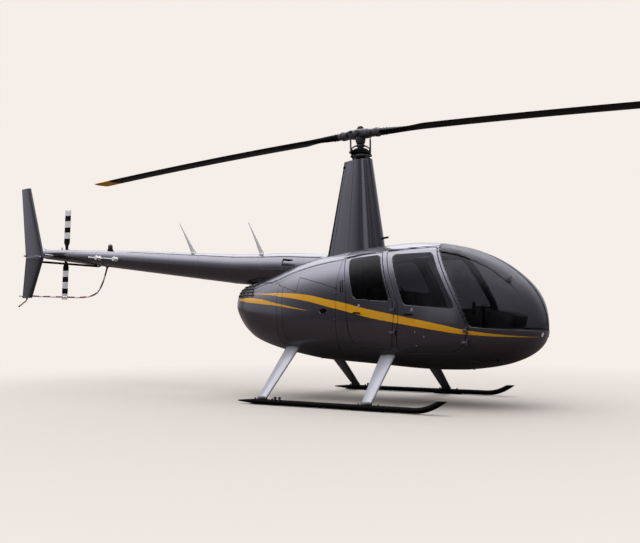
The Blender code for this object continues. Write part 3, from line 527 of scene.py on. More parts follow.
def bent(points, radius, steps=8):
    """A path with each inner corner rounded by an arc of about this radius."""
    points = [Vector(point) for point in points]
    path = [points[0]]
    for before, corner, after in zip(points, points[1:], points[2:]):
        start = corner + (before - corner).normalized() * min(radius, (before - corner).length / 2)
        end = corner + (after - corner).normalized() * min(radius, (after - corner).length / 2)
        for k in range(steps + 1):
            t = k / steps
            path.append((1 - t) ** 2 * start + 2 * t * (1 - t) * corner + t * t * end)
    path.append(points[-1])
    return path


def block(low, high, mark=0):
    (x0, y0, z0), (x1, y1, z1) = low, high
    ring = ((x0, y0), (x1, y0), (x1, y1), (x0, y1))
    return loft([[(x, y, z) for x, y in ring] for z in (z0, z1)], mark)


def bar(start, end, half, low, high):
    """A flat bar from start to end in plan, from z = low to z = high."""
    start = Vector((start[0], start[1], 0.0))
    end = Vector((end[0], end[1], 0.0))
    along = (end - start).normalized()
    across = Vector((-along.y, along.x, 0.0)) * half
    ring = (start - across, end - across, end + across, start + across)
    return loft([[(c.x, c.y, z) for c in ring] for z in (low, high)])


FOIL_TERMS = (0.2969, 0.126, 0.3516, 0.2843, 0.1036)


def foil_half(t, thickness):
    """Half the thickness of a symmetric aerofoil at this share of its chord."""
    root, *powers = FOIL_TERMS
    shape = root * math.sqrt(t) - powers[0] * t - powers[1] * t**2 + powers[2] * t**3 - powers[3] * t**4
    return 5 * thickness * shape


def foil(chord, thickness, count=20):
    """A symmetric aerofoil's outline, leading edge at 0, as (along the chord, across) points."""
    upper = []
    for k in range(count + 1):
        t = (1 - math.cos(math.pi * k / count)) / 2
        upper.append((t * chord, foil_half(t, thickness)))
    upper[-1] = (chord, thickness * 0.05)
    lower = [(along, -across) for along, across in upper[1:]]
    return upper + lower[::-1]


def piece(name, parts, material_or_list, body, *nodes, slot=None, smooth=35, bevel=0.0, segments=2):
    obj = joined(name, parts, material_or_list, smooth, bevel, 0, segments)
    return finish_piece(obj, body, *nodes, slot=slot)


def hexagon(start, end, radius, mark=0):
    return lathe(Vector(end) - Vector(start), ((Vector(start), radius), (Vector(end), radius)), 6, mark)


def bolt(point, axis, radius=0.008, height=0.006, mark=0):
    """A washer, a hexagon head and the rounded end of its shank."""
    point = Vector(point)
    axis = Vector(axis).normalized()
    back = point - axis * 0.003
    return [
        rod(back, point + axis * height * 0.25, radius * 1.35, 18, mark),
        hexagon(back, point + axis * height, radius, mark),
        rod(back, point + axis * (height + radius * 0.35), radius * 0.55, 12, mark),
    ]


def ball(centre, radius, mark=0, squash=1.0, count=16, axis=(0, 0, 1)):
    axis = Vector(axis).normalized()
    stations = []
    for k in range(9):
        angle = math.pi * (k + 0.35) / 8.7 - math.pi / 2
        stations.append((Vector(centre) + axis * math.sin(angle) * radius * squash, radius * math.cos(angle)))
    return lathe(axis, stations, count, mark)


def slab(outline, low, high):
    """An outline seen from above, from z = low to z = high."""
    return loft([[(x, y, z) for x, y in outline] for z in (low, high)])


def side_slab(outline, low, high, mark=0):
    """An outline seen from the side (x, z), from y = low to y = high."""
    return loft([[(x, y, z) for x, z in outline] for y in (low, high)], mark)


def skin_point(x, z, side, out=0.0):
    """A point on the body's side, moved outwards, and the skin's normal there."""
    step = 0.004
    here = Vector((x, side * half_width(x, z), z))
    fore = Vector((x + step, side * half_width(x + step, z), z))
    over = Vector((x, side * half_width(x, z + step), z + step))
    normal = (fore - here).cross(over - here).normalized()
    if normal.y * side < 0:
        normal = -normal
    return here + normal * out, normal


def roof_height(x, y):
    top, _, half, widest, above, _ = (float(value[0]) for value in body_section(x))
    return widest + (top - widest) * max(0.0, 1 - (abs(y) / half) ** above) ** (1 / above)


def spaced(points, spacing):
    """Points at about this spacing along a line of points."""
    points = [Vector(point) for point in points]
    run = [0.0]
    for one, two in zip(points, points[1:]):
        run.append(run[-1] + (two - one).length)
    count = max(1, round(run[-1] / spacing))
    made = []
    k = 0
    for n in range(count + 1):
        along = run[-1] * n / count
        while k < len(points) - 2 and run[k + 1] < along:
            k += 1
        share = (along - run[k]) / max(1e-9, run[k + 1] - run[k])
        made.append(points[k].lerp(points[k + 1], min(1.0, share)))
    return made


def on_skin(outline, side, spacing, out=0.0):
    """(point, normal) pairs along a side-view line laid on the body."""
    flat = [(x, 0.0, z) for x, z in outline]
    return [skin_point(p.x, p.z, side, out) for p in spaced(flat, spacing)]


def skin_cord(outline, side, radius, out=0.0):
    """A thin bead laid along a side-view line on the body."""
    return tube([point for point, _ in on_skin(outline, side, 0.02, out)], radius, 8)


def make_stud_tree():
    """Small domed heads on points that carry a Facing direction."""
    tree = bpy.data.node_groups.new("stud rows", "GeometryNodeTree")
    interface = tree.interface
    interface.new_socket("Geometry", in_out="INPUT", socket_type="NodeSocketGeometry")
    for label, kind, value in (
        ("Radius", "NodeSocketFloat", 0.003), ("Height", "NodeSocketFloat", 0.0012),
        ("Variation", "NodeSocketFloat", 0.05), ("Seed", "NodeSocketInt", 7),
    ):
        interface.new_socket(label, in_out="INPUT", socket_type=kind).default_value = value
    interface.new_socket("Material", in_out="INPUT", socket_type="NodeSocketMaterial")
    interface.new_socket("Geometry", in_out="OUTPUT", socket_type="NodeSocketGeometry")
    start = tree.nodes.new("NodeGroupInput")
    end = tree.nodes.new("NodeGroupOutput")
    head = tree.nodes.new("GeometryNodeMeshCone")
    head.inputs["Vertices"].default_value = 10
    tree.links.new(start.outputs["Radius"], head.inputs["Radius Bottom"])
    tree.links.new(maths(tree, "MULTIPLY", start.outputs["Radius"], 0.55), head.inputs["Radius Top"])
    tree.links.new(start.outputs["Height"], head.inputs["Depth"])
    facing = tree.nodes.new("GeometryNodeInputNamedAttribute")
    facing.data_type = "FLOAT_VECTOR"
    facing.inputs["Name"].default_value = "Facing"
    turn = tree.nodes.new("FunctionNodeAlignEulerToVector")
    turn.axis = "Z"
    tree.links.new(facing.outputs["Attribute"], turn.inputs["Vector"])
    vary = tree.nodes.new("FunctionNodeRandomValue")
    vary.data_type = "FLOAT"
    tree.links.new(maths(tree, "SUBTRACT", 1.0, start.outputs["Variation"]), vary.inputs[2])
    tree.links.new(maths(tree, "ADD", 1.0, start.outputs["Variation"]), vary.inputs[3])
    tree.links.new(start.outputs["Seed"], vary.inputs["Seed"])
    points = tree.nodes.new("GeometryNodeInstanceOnPoints")
    tree.links.new(start.outputs["Geometry"], points.inputs["Points"])
    tree.links.new(head.outputs["Mesh"], points.inputs["Instance"])
    tree.links.new(turn.outputs["Rotation"], points.inputs["Rotation"])
    tree.links.new(vary.outputs[1], points.inputs["Scale"])
    real = tree.nodes.new("GeometryNodeRealizeInstances")
    tree.links.new(points.outputs["Instances"], real.inputs["Geometry"])
    paint = tree.nodes.new("GeometryNodeSetMaterial")
    tree.links.new(real.outputs["Geometry"], paint.inputs["Geometry"])
    tree.links.new(start.outputs["Material"], paint.inputs["Material"])
    tree.links.new(paint.outputs["Geometry"], end.inputs["Geometry"])
    return tree


def studs(name, spots, finish, body, radius=0.003, height=0.0014):
    """One mesh of stud heads at (point, normal) spots, made by the stud rows tree."""
    mesh = bpy.data.meshes.new(name)
    mesh.from_pydata([tuple(point) for point, _ in spots], [], [])
    facing = mesh.attributes.new("Facing", "FLOAT_VECTOR", "POINT")
    facing.data.foreach_set("vector", [value for _, normal in spots for value in normal])
    obj = bpy.data.objects.new(name, mesh)
    bpy.context.scene.collection.objects.link(obj)
    modifier = obj.modifiers.new("stud rows", "NODES")
    modifier.node_group = STUDS
    values = {"Radius": radius, "Height": height, "Material": finish}
    for item in STUDS.interface.items_tree:
        if item.in_out == "INPUT" and item.name in values:
            modifier[item.identifier] = values[item.name]
    apply_modifiers(obj)
    return finish_piece(obj, body)


# Materials


def node(tree, kind, **inputs):
    made = tree.nodes.new(kind)
    for name, value in inputs.items():
        feed(tree, made.inputs[name.replace("_", " ")], value)
    return made


def feed(tree, socket, value):
    """Links another node's socket to this one, or sets it to a plain value."""
    if isinstance(value, bpy.types.NodeSocket):
        tree.links.new(value, socket)
    else:
        socket.default_value = value


def maths(tree, operation, *values):
    made = tree.nodes.new("ShaderNodeMath")
    made.operation = operation
    for k, value in enumerate(values):
        feed(tree, made.inputs[k], value)
    return made.outputs[0]


MIX_COLOUR_A = 6
MIX_COLOUR_B = 7
MIX_COLOUR_OUT = 2


def mixed(tree, factor, one, two, blend="MIX"):
    made = tree.nodes.new("ShaderNodeMix")
    made.data_type = "RGBA"
    made.blend_type = blend
    for key, value in (("Factor", factor), (MIX_COLOUR_A, one), (MIX_COLOUR_B, two)):
        feed(tree, made.inputs[key], value)
    return made.outputs[MIX_COLOUR_OUT]


def group(name, inputs, outputs):
    """An empty shader group with named sockets: (name, kind, default)."""
    made = bpy.data.node_groups.new(name, "ShaderNodeTree")
    for label, kind, value in inputs:
        socket = made.interface.new_socket(label, in_out="INPUT", socket_type=kind)
        if value is not None:
            socket.default_value = value
    for label, kind in outputs:
        made.interface.new_socket(label, in_out="OUTPUT", socket_type=kind)
    return made, made.nodes.new("NodeGroupInput"), made.nodes.new("NodeGroupOutput")


def make_dust_group():
    """Soft patches of dust and handling, and the bump of an even fine grain."""
    tree, start, end = group(
        "dust and grain",
        (
            ("Vector", "NodeSocketVector", None), ("Patch Scale", "NodeSocketFloat", 2.0),
            ("Grain Scale", "NodeSocketFloat", 400.0), ("Dust", "NodeSocketFloat", 0.2),
            ("Grain", "NodeSocketFloat", 0.1),
        ),
        (("Mask", "NodeSocketFloat"), ("Normal", "NodeSocketVector")),
    )
    patches = node(
        tree, "ShaderNodeTexNoise", Vector=start.outputs["Vector"], Scale=start.outputs["Patch Scale"]
    )
    patches.inputs["Detail"].default_value = 6.0
    ranged = node(tree, "ShaderNodeMapRange", Value=patches.outputs[0], From_Min=0.40, From_Max=0.75)
    mask = maths(tree, "MULTIPLY", ranged.outputs[0], start.outputs["Dust"])
    grain = node(
        tree, "ShaderNodeTexNoise", Vector=start.outputs["Vector"], Scale=start.outputs["Grain Scale"]
    )
    bump = node(tree, "ShaderNodeBump", Height=grain.outputs[0], Strength=start.outputs["Grain"])
    bump.inputs["Distance"].default_value = 0.001
    tree.links.new(mask, end.inputs["Mask"])
    tree.links.new(bump.outputs[0], end.inputs["Normal"])
    return tree


def make_stripe_group():
    """A long stripe on the body's sides: 1 inside it. Its middle and half width follow X."""
    tree, start, end = group(
        "side stripe",
        (
            ("Vector", "NodeSocketVector", None), ("Middle", "NodeSocketFloat", 1.0),
            ("Half Width", "NodeSocketFloat", 0.04), ("Softness", "NodeSocketFloat", 0.0015),
        ),
        (("Mask", "NodeSocketFloat"),),
    )
    split = node(tree, "ShaderNodeSeparateXYZ", Vector=start.outputs["Vector"])
    away = maths(tree, "ABSOLUTE", maths(tree, "SUBTRACT", split.outputs["Z"], start.outputs["Middle"]))
    inside = maths(tree, "SUBTRACT", start.outputs["Half Width"], away)
    sharp = maths(tree, "DIVIDE", inside, start.outputs["Softness"])
    shifted = maths(tree, "ADD", sharp, 0.5)
    clamp = node(tree, "ShaderNodeClamp", Value=shifted)
    tree.links.new(clamp.outputs[0], end.inputs["Mask"])
    return tree


def curve_of_x(tree, x_socket, stations, column):
    """A number that follows X through the stations' column."""
    first = stations[0][0] + SHIFT
    last = stations[-1][0] + SHIFT
    values = [station[column] for station in stations]
    low = min(values)
    high = max(values)
    share = node(tree, "ShaderNodeMapRange", Value=x_socket, From_Min=first, From_Max=last)
    curve = tree.nodes.new("ShaderNodeFloatCurve")
    tree.links.new(share.outputs[0], curve.inputs["Value"])
    points = curve.mapping.curves[0].points
    spots = [((s[0] + SHIFT - first) / (last - first), (s[column] - low) / (high - low)) for s in stations]
    points[0].location = spots[0]
    points[-1].location = spots[-1]
    for spot in spots[1:-1]:
        points.new(*spot)
    curve.mapping.update()
    return node(tree, "ShaderNodeMapRange", Value=curve.outputs[0], To_Min=low, To_Max=high).outputs[0]


def material(name):
    made = bpy.data.materials.new(name)
    made.use_nodes = True
    tree = made.node_tree
    return made, tree, tree.nodes["Principled BSDF"]


def link(tree, socket, target):
    tree.links.new(socket, target)


def object_vector(tree):
    return tree.nodes.new("ShaderNodeTexCoord").outputs["Object"]


def dust_on(tree, vector, **values):
    """The shared dust and grain, with the given sockets set."""
    dusty = tree.nodes.new("ShaderNodeGroup")
    dusty.node_tree = DUST
    link(tree, vector, dusty.inputs["Vector"])
    for name, value in values.items():
        dusty.inputs[name.replace("_", " ")].default_value = value
    return dusty


def finish_of(name, colour, roughness, metallic=0.0, dust=0.15, grain=0.05, coat=0.0, patch=2.5,
              grain_scale=500.0, dust_colour=(0.32, 0.30, 0.27, 1.0), rough_dust=0.25, specular=0.5):
    """A painted, moulded or metal finish with patches of dust and a fine grain."""
    made, tree, shader = material(name)
    dusty = dust_on(
        tree, object_vector(tree), Patch_Scale=patch, Grain_Scale=grain_scale, Dust=dust, Grain=grain,
    )
    link(tree, mixed(tree, dusty.outputs["Mask"], (*colour, 1.0), dust_colour), shader.inputs["Base Color"])
    rough = maths(tree, "MULTIPLY_ADD", dusty.outputs["Mask"], rough_dust, roughness)
    link(tree, rough, shader.inputs["Roughness"])
    link(tree, dusty.outputs["Normal"], shader.inputs["Normal"])
    shader.inputs["Metallic"].default_value = metallic
    shader.inputs["Coat Weight"].default_value = coat
    shader.inputs["Coat Roughness"].default_value = 0.04
    shader.inputs["Specular IOR Level"].default_value = specular
    return made


PAINT = (0.085, 0.082, 0.093)
GOLD = (0.72, 0.35, 0.006, 1.0)
PAINT_ROUGHNESS = 0.19
PAINT_DUST = (0.20, 0.19, 0.18, 1.0)
# Painted highlight on the top and painted shade on the lower body: the heights between which each comes in,
# and its most
TOP_PAINTED_HIGHLIGHT = (0.38, 0.375, 0.40, 1.0)
TOP_PAINTED_HIGHLIGHT_RANGE = (1.60, 1.73, 0.75)
# Painted shade: the darker colour of the lower body
BELLY_PAINTED_SHADE = (0.020, 0.0165, 0.0165, 1.0)
BELLY_PAINTED_SHADE_RANGE = (0.80, 0.52, 0.85)


def body_paint(name):
    """Charcoal metallic under clear coat, with the two gold stripes on the sides, a painted highlight
    lightening the top and painted shade darkening the lower body.
    """
    made, tree, shader = material(name)
    vector = object_vector(tree)
    split = node(tree, "ShaderNodeSeparateXYZ", Vector=vector)
    masks = []
    for stations in (MAIN_STRIPE, SECOND_STRIPE):
        stripe = tree.nodes.new("ShaderNodeGroup")
        stripe.node_tree = STRIPE
        link(tree, vector, stripe.inputs["Vector"])
        link(tree, curve_of_x(tree, split.outputs["X"], stations, 1), stripe.inputs["Middle"])
        link(tree, curve_of_x(tree, split.outputs["X"], stations, 2), stripe.inputs["Half Width"])
        within = maths(tree, "MULTIPLY", stripe.outputs["Mask"], in_range(tree, split.outputs["X"], stations))
        masks.append(within)
    both = maths(tree, "MAXIMUM", *masks)
    dusty = dust_on(tree, vector, Patch_Scale=1.6, Grain_Scale=900.0, Dust=0.10, Grain=0.03)
    # Painted highlight on the top and painted shade on the lower body, each coming in by height
    top_highlight, belly_shade = (
        node(tree, "ShaderNodeMapRange", Value=split.outputs["Z"], From_Min=start, From_Max=end, To_Max=most)
        for start, end, most in (TOP_PAINTED_HIGHLIGHT_RANGE, BELLY_PAINTED_SHADE_RANGE)
    )
    colour = mixed(tree, both, mixed(tree, top_highlight.outputs[0], (*PAINT, 1.0), TOP_PAINTED_HIGHLIGHT), GOLD)
    colour = mixed(tree, belly_shade.outputs[0], colour, BELLY_PAINTED_SHADE)
    link(tree, mixed(tree, dusty.outputs["Mask"], colour, PAINT_DUST), shader.inputs["Base Color"])
    grain = maths(tree, "MULTIPLY_ADD", dusty.outputs["Mask"], 0.5, PAINT_ROUGHNESS)
    # Where the painted highlight and painted shade lie, the paint is also rougher, less metallic and has less
    # clear coat
    highlight_and_shade = maths(tree, "ADD", top_highlight.outputs[0], belly_shade.outputs[0])
    link(tree, maths(tree, "MULTIPLY_ADD", highlight_and_shade, 0.45, grain), shader.inputs["Roughness"])
    link(tree, dusty.outputs["Normal"], shader.inputs["Normal"])
    matt = maths(tree, "MAXIMUM", both, highlight_and_shade)
    link(tree, maths(tree, "MULTIPLY_ADD", matt, -0.80, 0.88), shader.inputs["Metallic"])
    coat_share = maths(tree, "MULTIPLY_ADD", highlight_and_shade, -1.15, 1.0)
    link(tree, maths(tree, "MULTIPLY_ADD", both, -0.75, coat_share), shader.inputs["Coat Weight"])
    shader.inputs["Coat Roughness"].default_value = 0.05
    return made


def in_range(tree, x_socket, stations):
    """1 where X lies between the first and the last station."""
    after = maths(tree, "GREATER_THAN", x_socket, stations[0][0] + SHIFT)
    before = maths(tree, "LESS_THAN", x_socket, stations[-1][0] + SHIFT)
    return maths(tree, "MULTIPLY", after, before)


def glass(name, tint, index):
    """Tinted glazing with a very slight waviness."""
    made, tree, shader = material(name)
    noise = node(tree, "ShaderNodeTexNoise", Vector=object_vector(tree), Scale=1.3)
    soft = node(tree, "ShaderNodeBump", Height=noise.outputs[0], Strength=0.02, Distance=0.01)
    link(tree, soft.outputs[0], shader.inputs["Normal"])
    shader.inputs["Base Color"].default_value = (*tint, 1.0)
    shader.inputs["Roughness"].default_value = 0.0
    shader.inputs["Transmission Weight"].default_value = 1.0
    shader.inputs["IOR"].default_value = index
    return made


def lamp_glass(name, colour):
    """Clear or coloured moulded glass with a fine ribbing."""
    made, tree, shader = material(name)
    wave = node(tree, "ShaderNodeTexWave", Vector=object_vector(tree), Scale=60.0)
    ribs = node(tree, "ShaderNodeBump", Height=wave.outputs["Color"], Strength=0.25, Distance=0.002)
    link(tree, ribs.outputs[0], shader.inputs["Normal"])
    shader.inputs["Base Color"].default_value = (*colour, 1.0)
    shader.inputs["Roughness"].default_value = 0.12
    shader.inputs["Coat Weight"].default_value = 1.0
    shader.inputs["Metallic"].default_value = 0.35
    return made


def banded(name, axis_point, axis, edges, colours, roughness=0.7, specular=0.03):
    """Bands of colour along an axis: colours[k] lies below edges[k], the last one beyond them all."""
    made, tree, shader = material(name)
    vector = object_vector(tree)
    dot = tree.nodes.new("ShaderNodeVectorMath")
    dot.operation = "DOT_PRODUCT"
    link(tree, vector, dot.inputs[0])
    dot.inputs[1].default_value = axis
    offset = Vector(axis).dot(Vector(axis_point) + Vector((SHIFT, 0, 0)))
    along = maths(tree, "SUBTRACT", dot.outputs["Value"], offset)
    colour = (*colours[0], 1.0)
    for edge, following in zip(edges, colours[1:]):
        colour = mixed(tree, maths(tree, "GREATER_THAN", along, edge), colour, (*following, 1.0))
    dusty = dust_on(tree, vector, Dust=0.05, Patch_Scale=5.0)
    link(
        tree, mixed(tree, dusty.outputs["Mask"], colour, (0.16, 0.13, 0.10, 1.0)), shader.inputs["Base Color"]
    )
    link(tree, dusty.outputs["Normal"], shader.inputs["Normal"])
    shader.inputs["Roughness"].default_value = roughness
    shader.inputs["Specular IOR Level"].default_value = specular
    return made


DUST = make_dust_group()
STRIPE = make_stripe_group()
BLADE_BLACK = (0.006, 0.0042, 0.0028)
TIP_GOLD = (0.80, 0.40, 0.03)
ENAMEL = (0.78, 0.77, 0.75)
BODY_PAINT = body_paint("body_paint")
CHARCOAL = finish_of("charcoal_gloss", PAINT, 0.17, 0.88, 0.06, 0.03, 1.0, 1.6, 900.0, PAINT_DUST)
# The charcoal paint darkened as painted shade, for the lower fin
LOWER_FIN_PAINTED_SHADE = finish_of(
    "charcoal_painted_shade", (0.036, 0.034, 0.038), 0.34, 0.7, 0.06, 0.03, 0.6, 1.6, 900.0, (0.10, 0.09, 0.09, 1.0)
)
BLACK = finish_of(
    "black_satin", (0.0030, 0.0024, 0.0020), 0.55, 0.0, 0.08, 0.10, dust_colour=(0.02, 0.018, 0.016, 1.0),
    specular=0.04
)
HUB_GREY = finish_of(
    "hub_grey_paint", (0.060, 0.057, 0.060), 0.36, 0.3, 0.35, 0.10, 0.2, 16.0, 500.0, (0.05, 0.045, 0.04, 1.0)
)
ENAMEL_PAINT = finish_of("white_enamel", ENAMEL, 0.3, 0.0, 0.15, 0.05, 0.3)
ANTENNA_GREY = finish_of("antenna_grey", (0.55, 0.53, 0.51), 0.4, 0.0, 0.15, 0.05)
DARK_RED = finish_of("dark_red_paint", (0.17, 0.016, 0.018), 0.34, 0.0, 0.15, 0.05, 0.3)
LEG_PAINT = finish_of("leg_silver_paint", (0.30, 0.30, 0.315), 0.50, 0.45, 0.10, 0.03, 0.5)
# Painted shade: a dark copy of the leg paint for the legs' inward-facing faces
LEG_PAINTED_SHADE = finish_of("leg_painted_shade", (0.045, 0.042, 0.045), 0.55, 0.30, 0.10, 0.03, 0.5)
STEEL = finish_of(
    "worked_steel", (0.20, 0.20, 0.21), 0.34, 0.9, 0.3, 0.2, 0.0, 14.0, 700.0, (0.05, 0.045, 0.04, 1.0)
)
ALLOY = finish_of(
    "cast_alloy_grey", (0.34, 0.35, 0.37), 0.42, 0.85, 0.35, 0.35, 0.0, 12.0, 260.0, (0.06, 0.055, 0.05, 1.0)
)
WORN_SCREW = finish_of(
    "worn_screw_heads", (0.10, 0.10, 0.105), 0.38, 0.7, 0.3, 0.1, 0.0, 20.0, 900.0, (0.02, 0.02, 0.02, 1.0)
)
RUBBER = finish_of("seal_rubber", (0.014, 0.014, 0.014), 0.62, 0.0, 0.2, 0.2)
LEATHER = finish_of(
    "seat_leather", (0.030, 0.029, 0.031), 0.48, 0.0, 0.15, 0.5, 0.0, 6.0, 900.0, (0.10, 0.095, 0.09, 1.0)
)
WEBBING = finish_of("belt_webbing", (0.05, 0.05, 0.052), 0.8, 0.0, 0.2, 0.6, 0.0, 8.0, 1600.0)
CARPET = finish_of("floor_carpet", (0.035, 0.034, 0.035), 0.95, 0.0, 0.35, 1.0, 0.0, 6.0, 1400.0)
TRIM = finish_of("cabin_trim_grey", (0.060, 0.060, 0.064), 0.75, 0.0, 0.2, 0.4, 0.0, 5.0, 1200.0)
DARK_METAL = finish_of("dark_bare_metal", (0.05, 0.048, 0.046), 0.5, 0.7, 0.4, 0.3, 0.0, 9.0, 500.0)
DIAL_BLACK = finish_of("dial_black", (0.012, 0.012, 0.013), 0.25, 0.0, 0.05, 0.02, 1.0)
SCREEN_GREEN = finish_of("radio_screen", (0.03, 0.05, 0.04), 0.15, 0.0, 0.05, 0.0, 1.0)
GLASS = glass("tinted_glazing", (0.17, 0.166, 0.175), 1.20)
SCREEN_GLASS = glass("windshield_glazing", (0.32, 0.315, 0.325), 1.19)
LAMP_GLASS = lamp_glass("lamp_glass", (0.85, 0.86, 0.88))
BEACON_RED = lamp_glass("beacon_red_lens", (0.035, 0.004, 0.003))
STUDS = make_stud_tree()


def body_fields():
    """Signed distances of the skin's points to each panel's own area, negative inside."""
    x = SKIN[..., 0]
    y = SKIN[..., 1]
    z = SKIN[..., 2]
    front_door = rounded(FRONT_DOOR, DOOR_CORNER, x, z)
    rear_door = rounded(REAR_DOOR, DOOR_CORNER, x, z)
    front_window = rounded(FRONT_WINDOW, WINDOW_CORNER, x, z)
    rear_window = rounded(REAR_WINDOW, WINDOW_CORNER, x, z)
    screen = polygon_distance(WINDSHIELD, x, z)
    off_middle = DOOR_INNER_Y - np.abs(y)
    joint = COWL_SEAM[-1]
    shoulder = (joint[0] - 0.05, COWL_AFT_TOP - 0.01)
    foot, head = GRILLE_EDGE
    over_grille = (head[0] - 0.03, 1.46)
    top_corner = (head[0] - 0.10, ABOVE_ALL)
    aft_middle = (BEHIND_ALL, foot[1])
    roof = polygon_distance((*ROOF_SEAM, (ROOF_SEAM[-1][0], ABOVE_ALL), (0.0, ABOVE_ALL)), x, z)
    upper = polygon_distance(
        ((0.0, ABOVE_ALL), *COWL_SEAM[:-1], joint, shoulder, head, over_grille, top_corner), x, z,
    )
    side_cowl = polygon_distance((*COWL_SEAM, *COWL_FOOT), x, z)
    tail_cowl = polygon_distance(
        ((0.0, 0.0), *reversed(COWL_FOOT), joint, shoulder, head, foot, aft_middle, (BEHIND_ALL, 0.0)), x, z,
    )
    grille = polygon_distance(
        (top_corner, over_grille, head, foot, aft_middle, (BEHIND_ALL, ABOVE_ALL)), x, z,
    )
    boom = -boom_distance(SKIN, 0.001)
    shell = np.maximum.reduce([-x + SEAM_GAP / 2, -(front_door - DOOR_GAP / 2), -(rear_door - DOOR_GAP / 2)])
    shell = np.maximum.reduce([shell, -screen, -(roof - SEAM_GAP / 2)])
    return {
        "shell": shell, "roof": roof + SEAM_GAP / 2, "roof_line": roof, "front_outline": front_door,
        "rear_outline": rear_door,
        "front_door": np.maximum(np.maximum(front_door + DOOR_GAP / 2, off_middle), -front_window),
        "rear_door": np.maximum(np.maximum(rear_door + DOOR_GAP / 2, off_middle), -rear_window),
        "front_window": np.maximum(front_window + PANE_GAP, off_middle),
        "rear_window": np.maximum(rear_window + PANE_GAP, off_middle), "screen": screen + PANE_GAP,
        "upper": np.maximum(upper + SEAM_GAP / 2, boom),
        "side_cowl": np.maximum(side_cowl + SEAM_GAP / 2, off_middle), "tail_cowl": tail_cowl + SEAM_GAP / 2,
        "grille": np.maximum(grille + SEAM_GAP / 2, boom)
    }


def make_body():
    fields = body_fields()
    y = SKIN[..., 1]

    def wall(name, field, finish, lining, body, node_name, slot="charcoal_paint"):
        finish_piece(skin_panel(name, field, 0.0, WALL, finish, lining=lining), body, node_name, slot=slot)

    def pane(name, field, inner, finish, body, node_name):
        finish_piece(
            skin_panel(name, field, -0.002, inner, finish, 0.0008), body, node_name, slot="tinted_glass"
        )

    wall("cabin_body", fields["shell"], BODY_PAINT, TRIM, ROOT, "cabin_shell")
    wall("cabin_roof", fields["roof"], CHARCOAL, TRIM, ROOT, "roof_panel")
    for side in (RIGHT, LEFT):
        word = side_word(side)
        on_side = -y * side
        for place_word in ("front", "rear"):
            body = f"door_{place_word}_{word}"
            door = np.maximum(fields[f"{place_word}_door"], on_side)
            window = np.maximum(fields[f"{place_word}_window"], on_side)
            wall(f"{place_word}_door_skin_{word}", door, BODY_PAINT, TRIM, body, f"{place_word}_door_{word}")
            pane(f"{place_word}_pane_{word}", window, -0.006, GLASS, body, f"{place_word}_window_{word}")
        screen = np.maximum(fields["screen"], on_side + PANE_INNER_Y)
        pane(f"windshield_pane_{word}", screen, -0.007, SCREEN_GLASS, ROOT, f"windshield_{word}")
        cowl = np.maximum(fields["side_cowl"], on_side)
        wall(f"engine_side_cowl_{word}", cowl, BODY_PAINT, None, ROOT, f"side_cowl_{word}")
    post = np.maximum(fields["screen"], np.abs(y) - POST_HALF)
    wall("windshield_centre_post", post, BLACK, None, ROOT, "windshield_post", "black_paint")
    wall("cowl_top", fields["upper"], BODY_PAINT, None, ROOT, "upper_cowl")
    wall("cowl_tail", fields["tail_cowl"], BODY_PAINT, None, ROOT, "tail_cowl")
    screen = skin_panel("grille_screen", fields["grille"], -0.010, -0.014, DARK_METAL)
    finish_piece(screen, ROOT, "rear_grille", slot="mesh_wire")
    make_seals(fields)


# Tail boom, pylon and their fairing


def boom_at(x):
    xs, zs, rs = (list(column)[::-1] for column in zip(*BOOM_SPACE))
    return float(np.interp(x, xs, zs)), float(np.interp(x, xs, rs))


def boom_under(x):
    """The height of the boom's underside."""
    z, radius = boom_at(x)
    return z - radius


def boom_over(x):
    """The height of the boom's top."""
    z, radius = boom_at(x)
    return z + radius


def boom_point(x, angle, out=0.0):
    """A point on the boom, by its angle from the +Y side over the top."""
    z, radius = boom_at(x)
    normal = Vector((0.0, math.cos(angle), math.sin(angle)))
    return Vector((x, 0.0, z)) + normal * (radius + out), normal


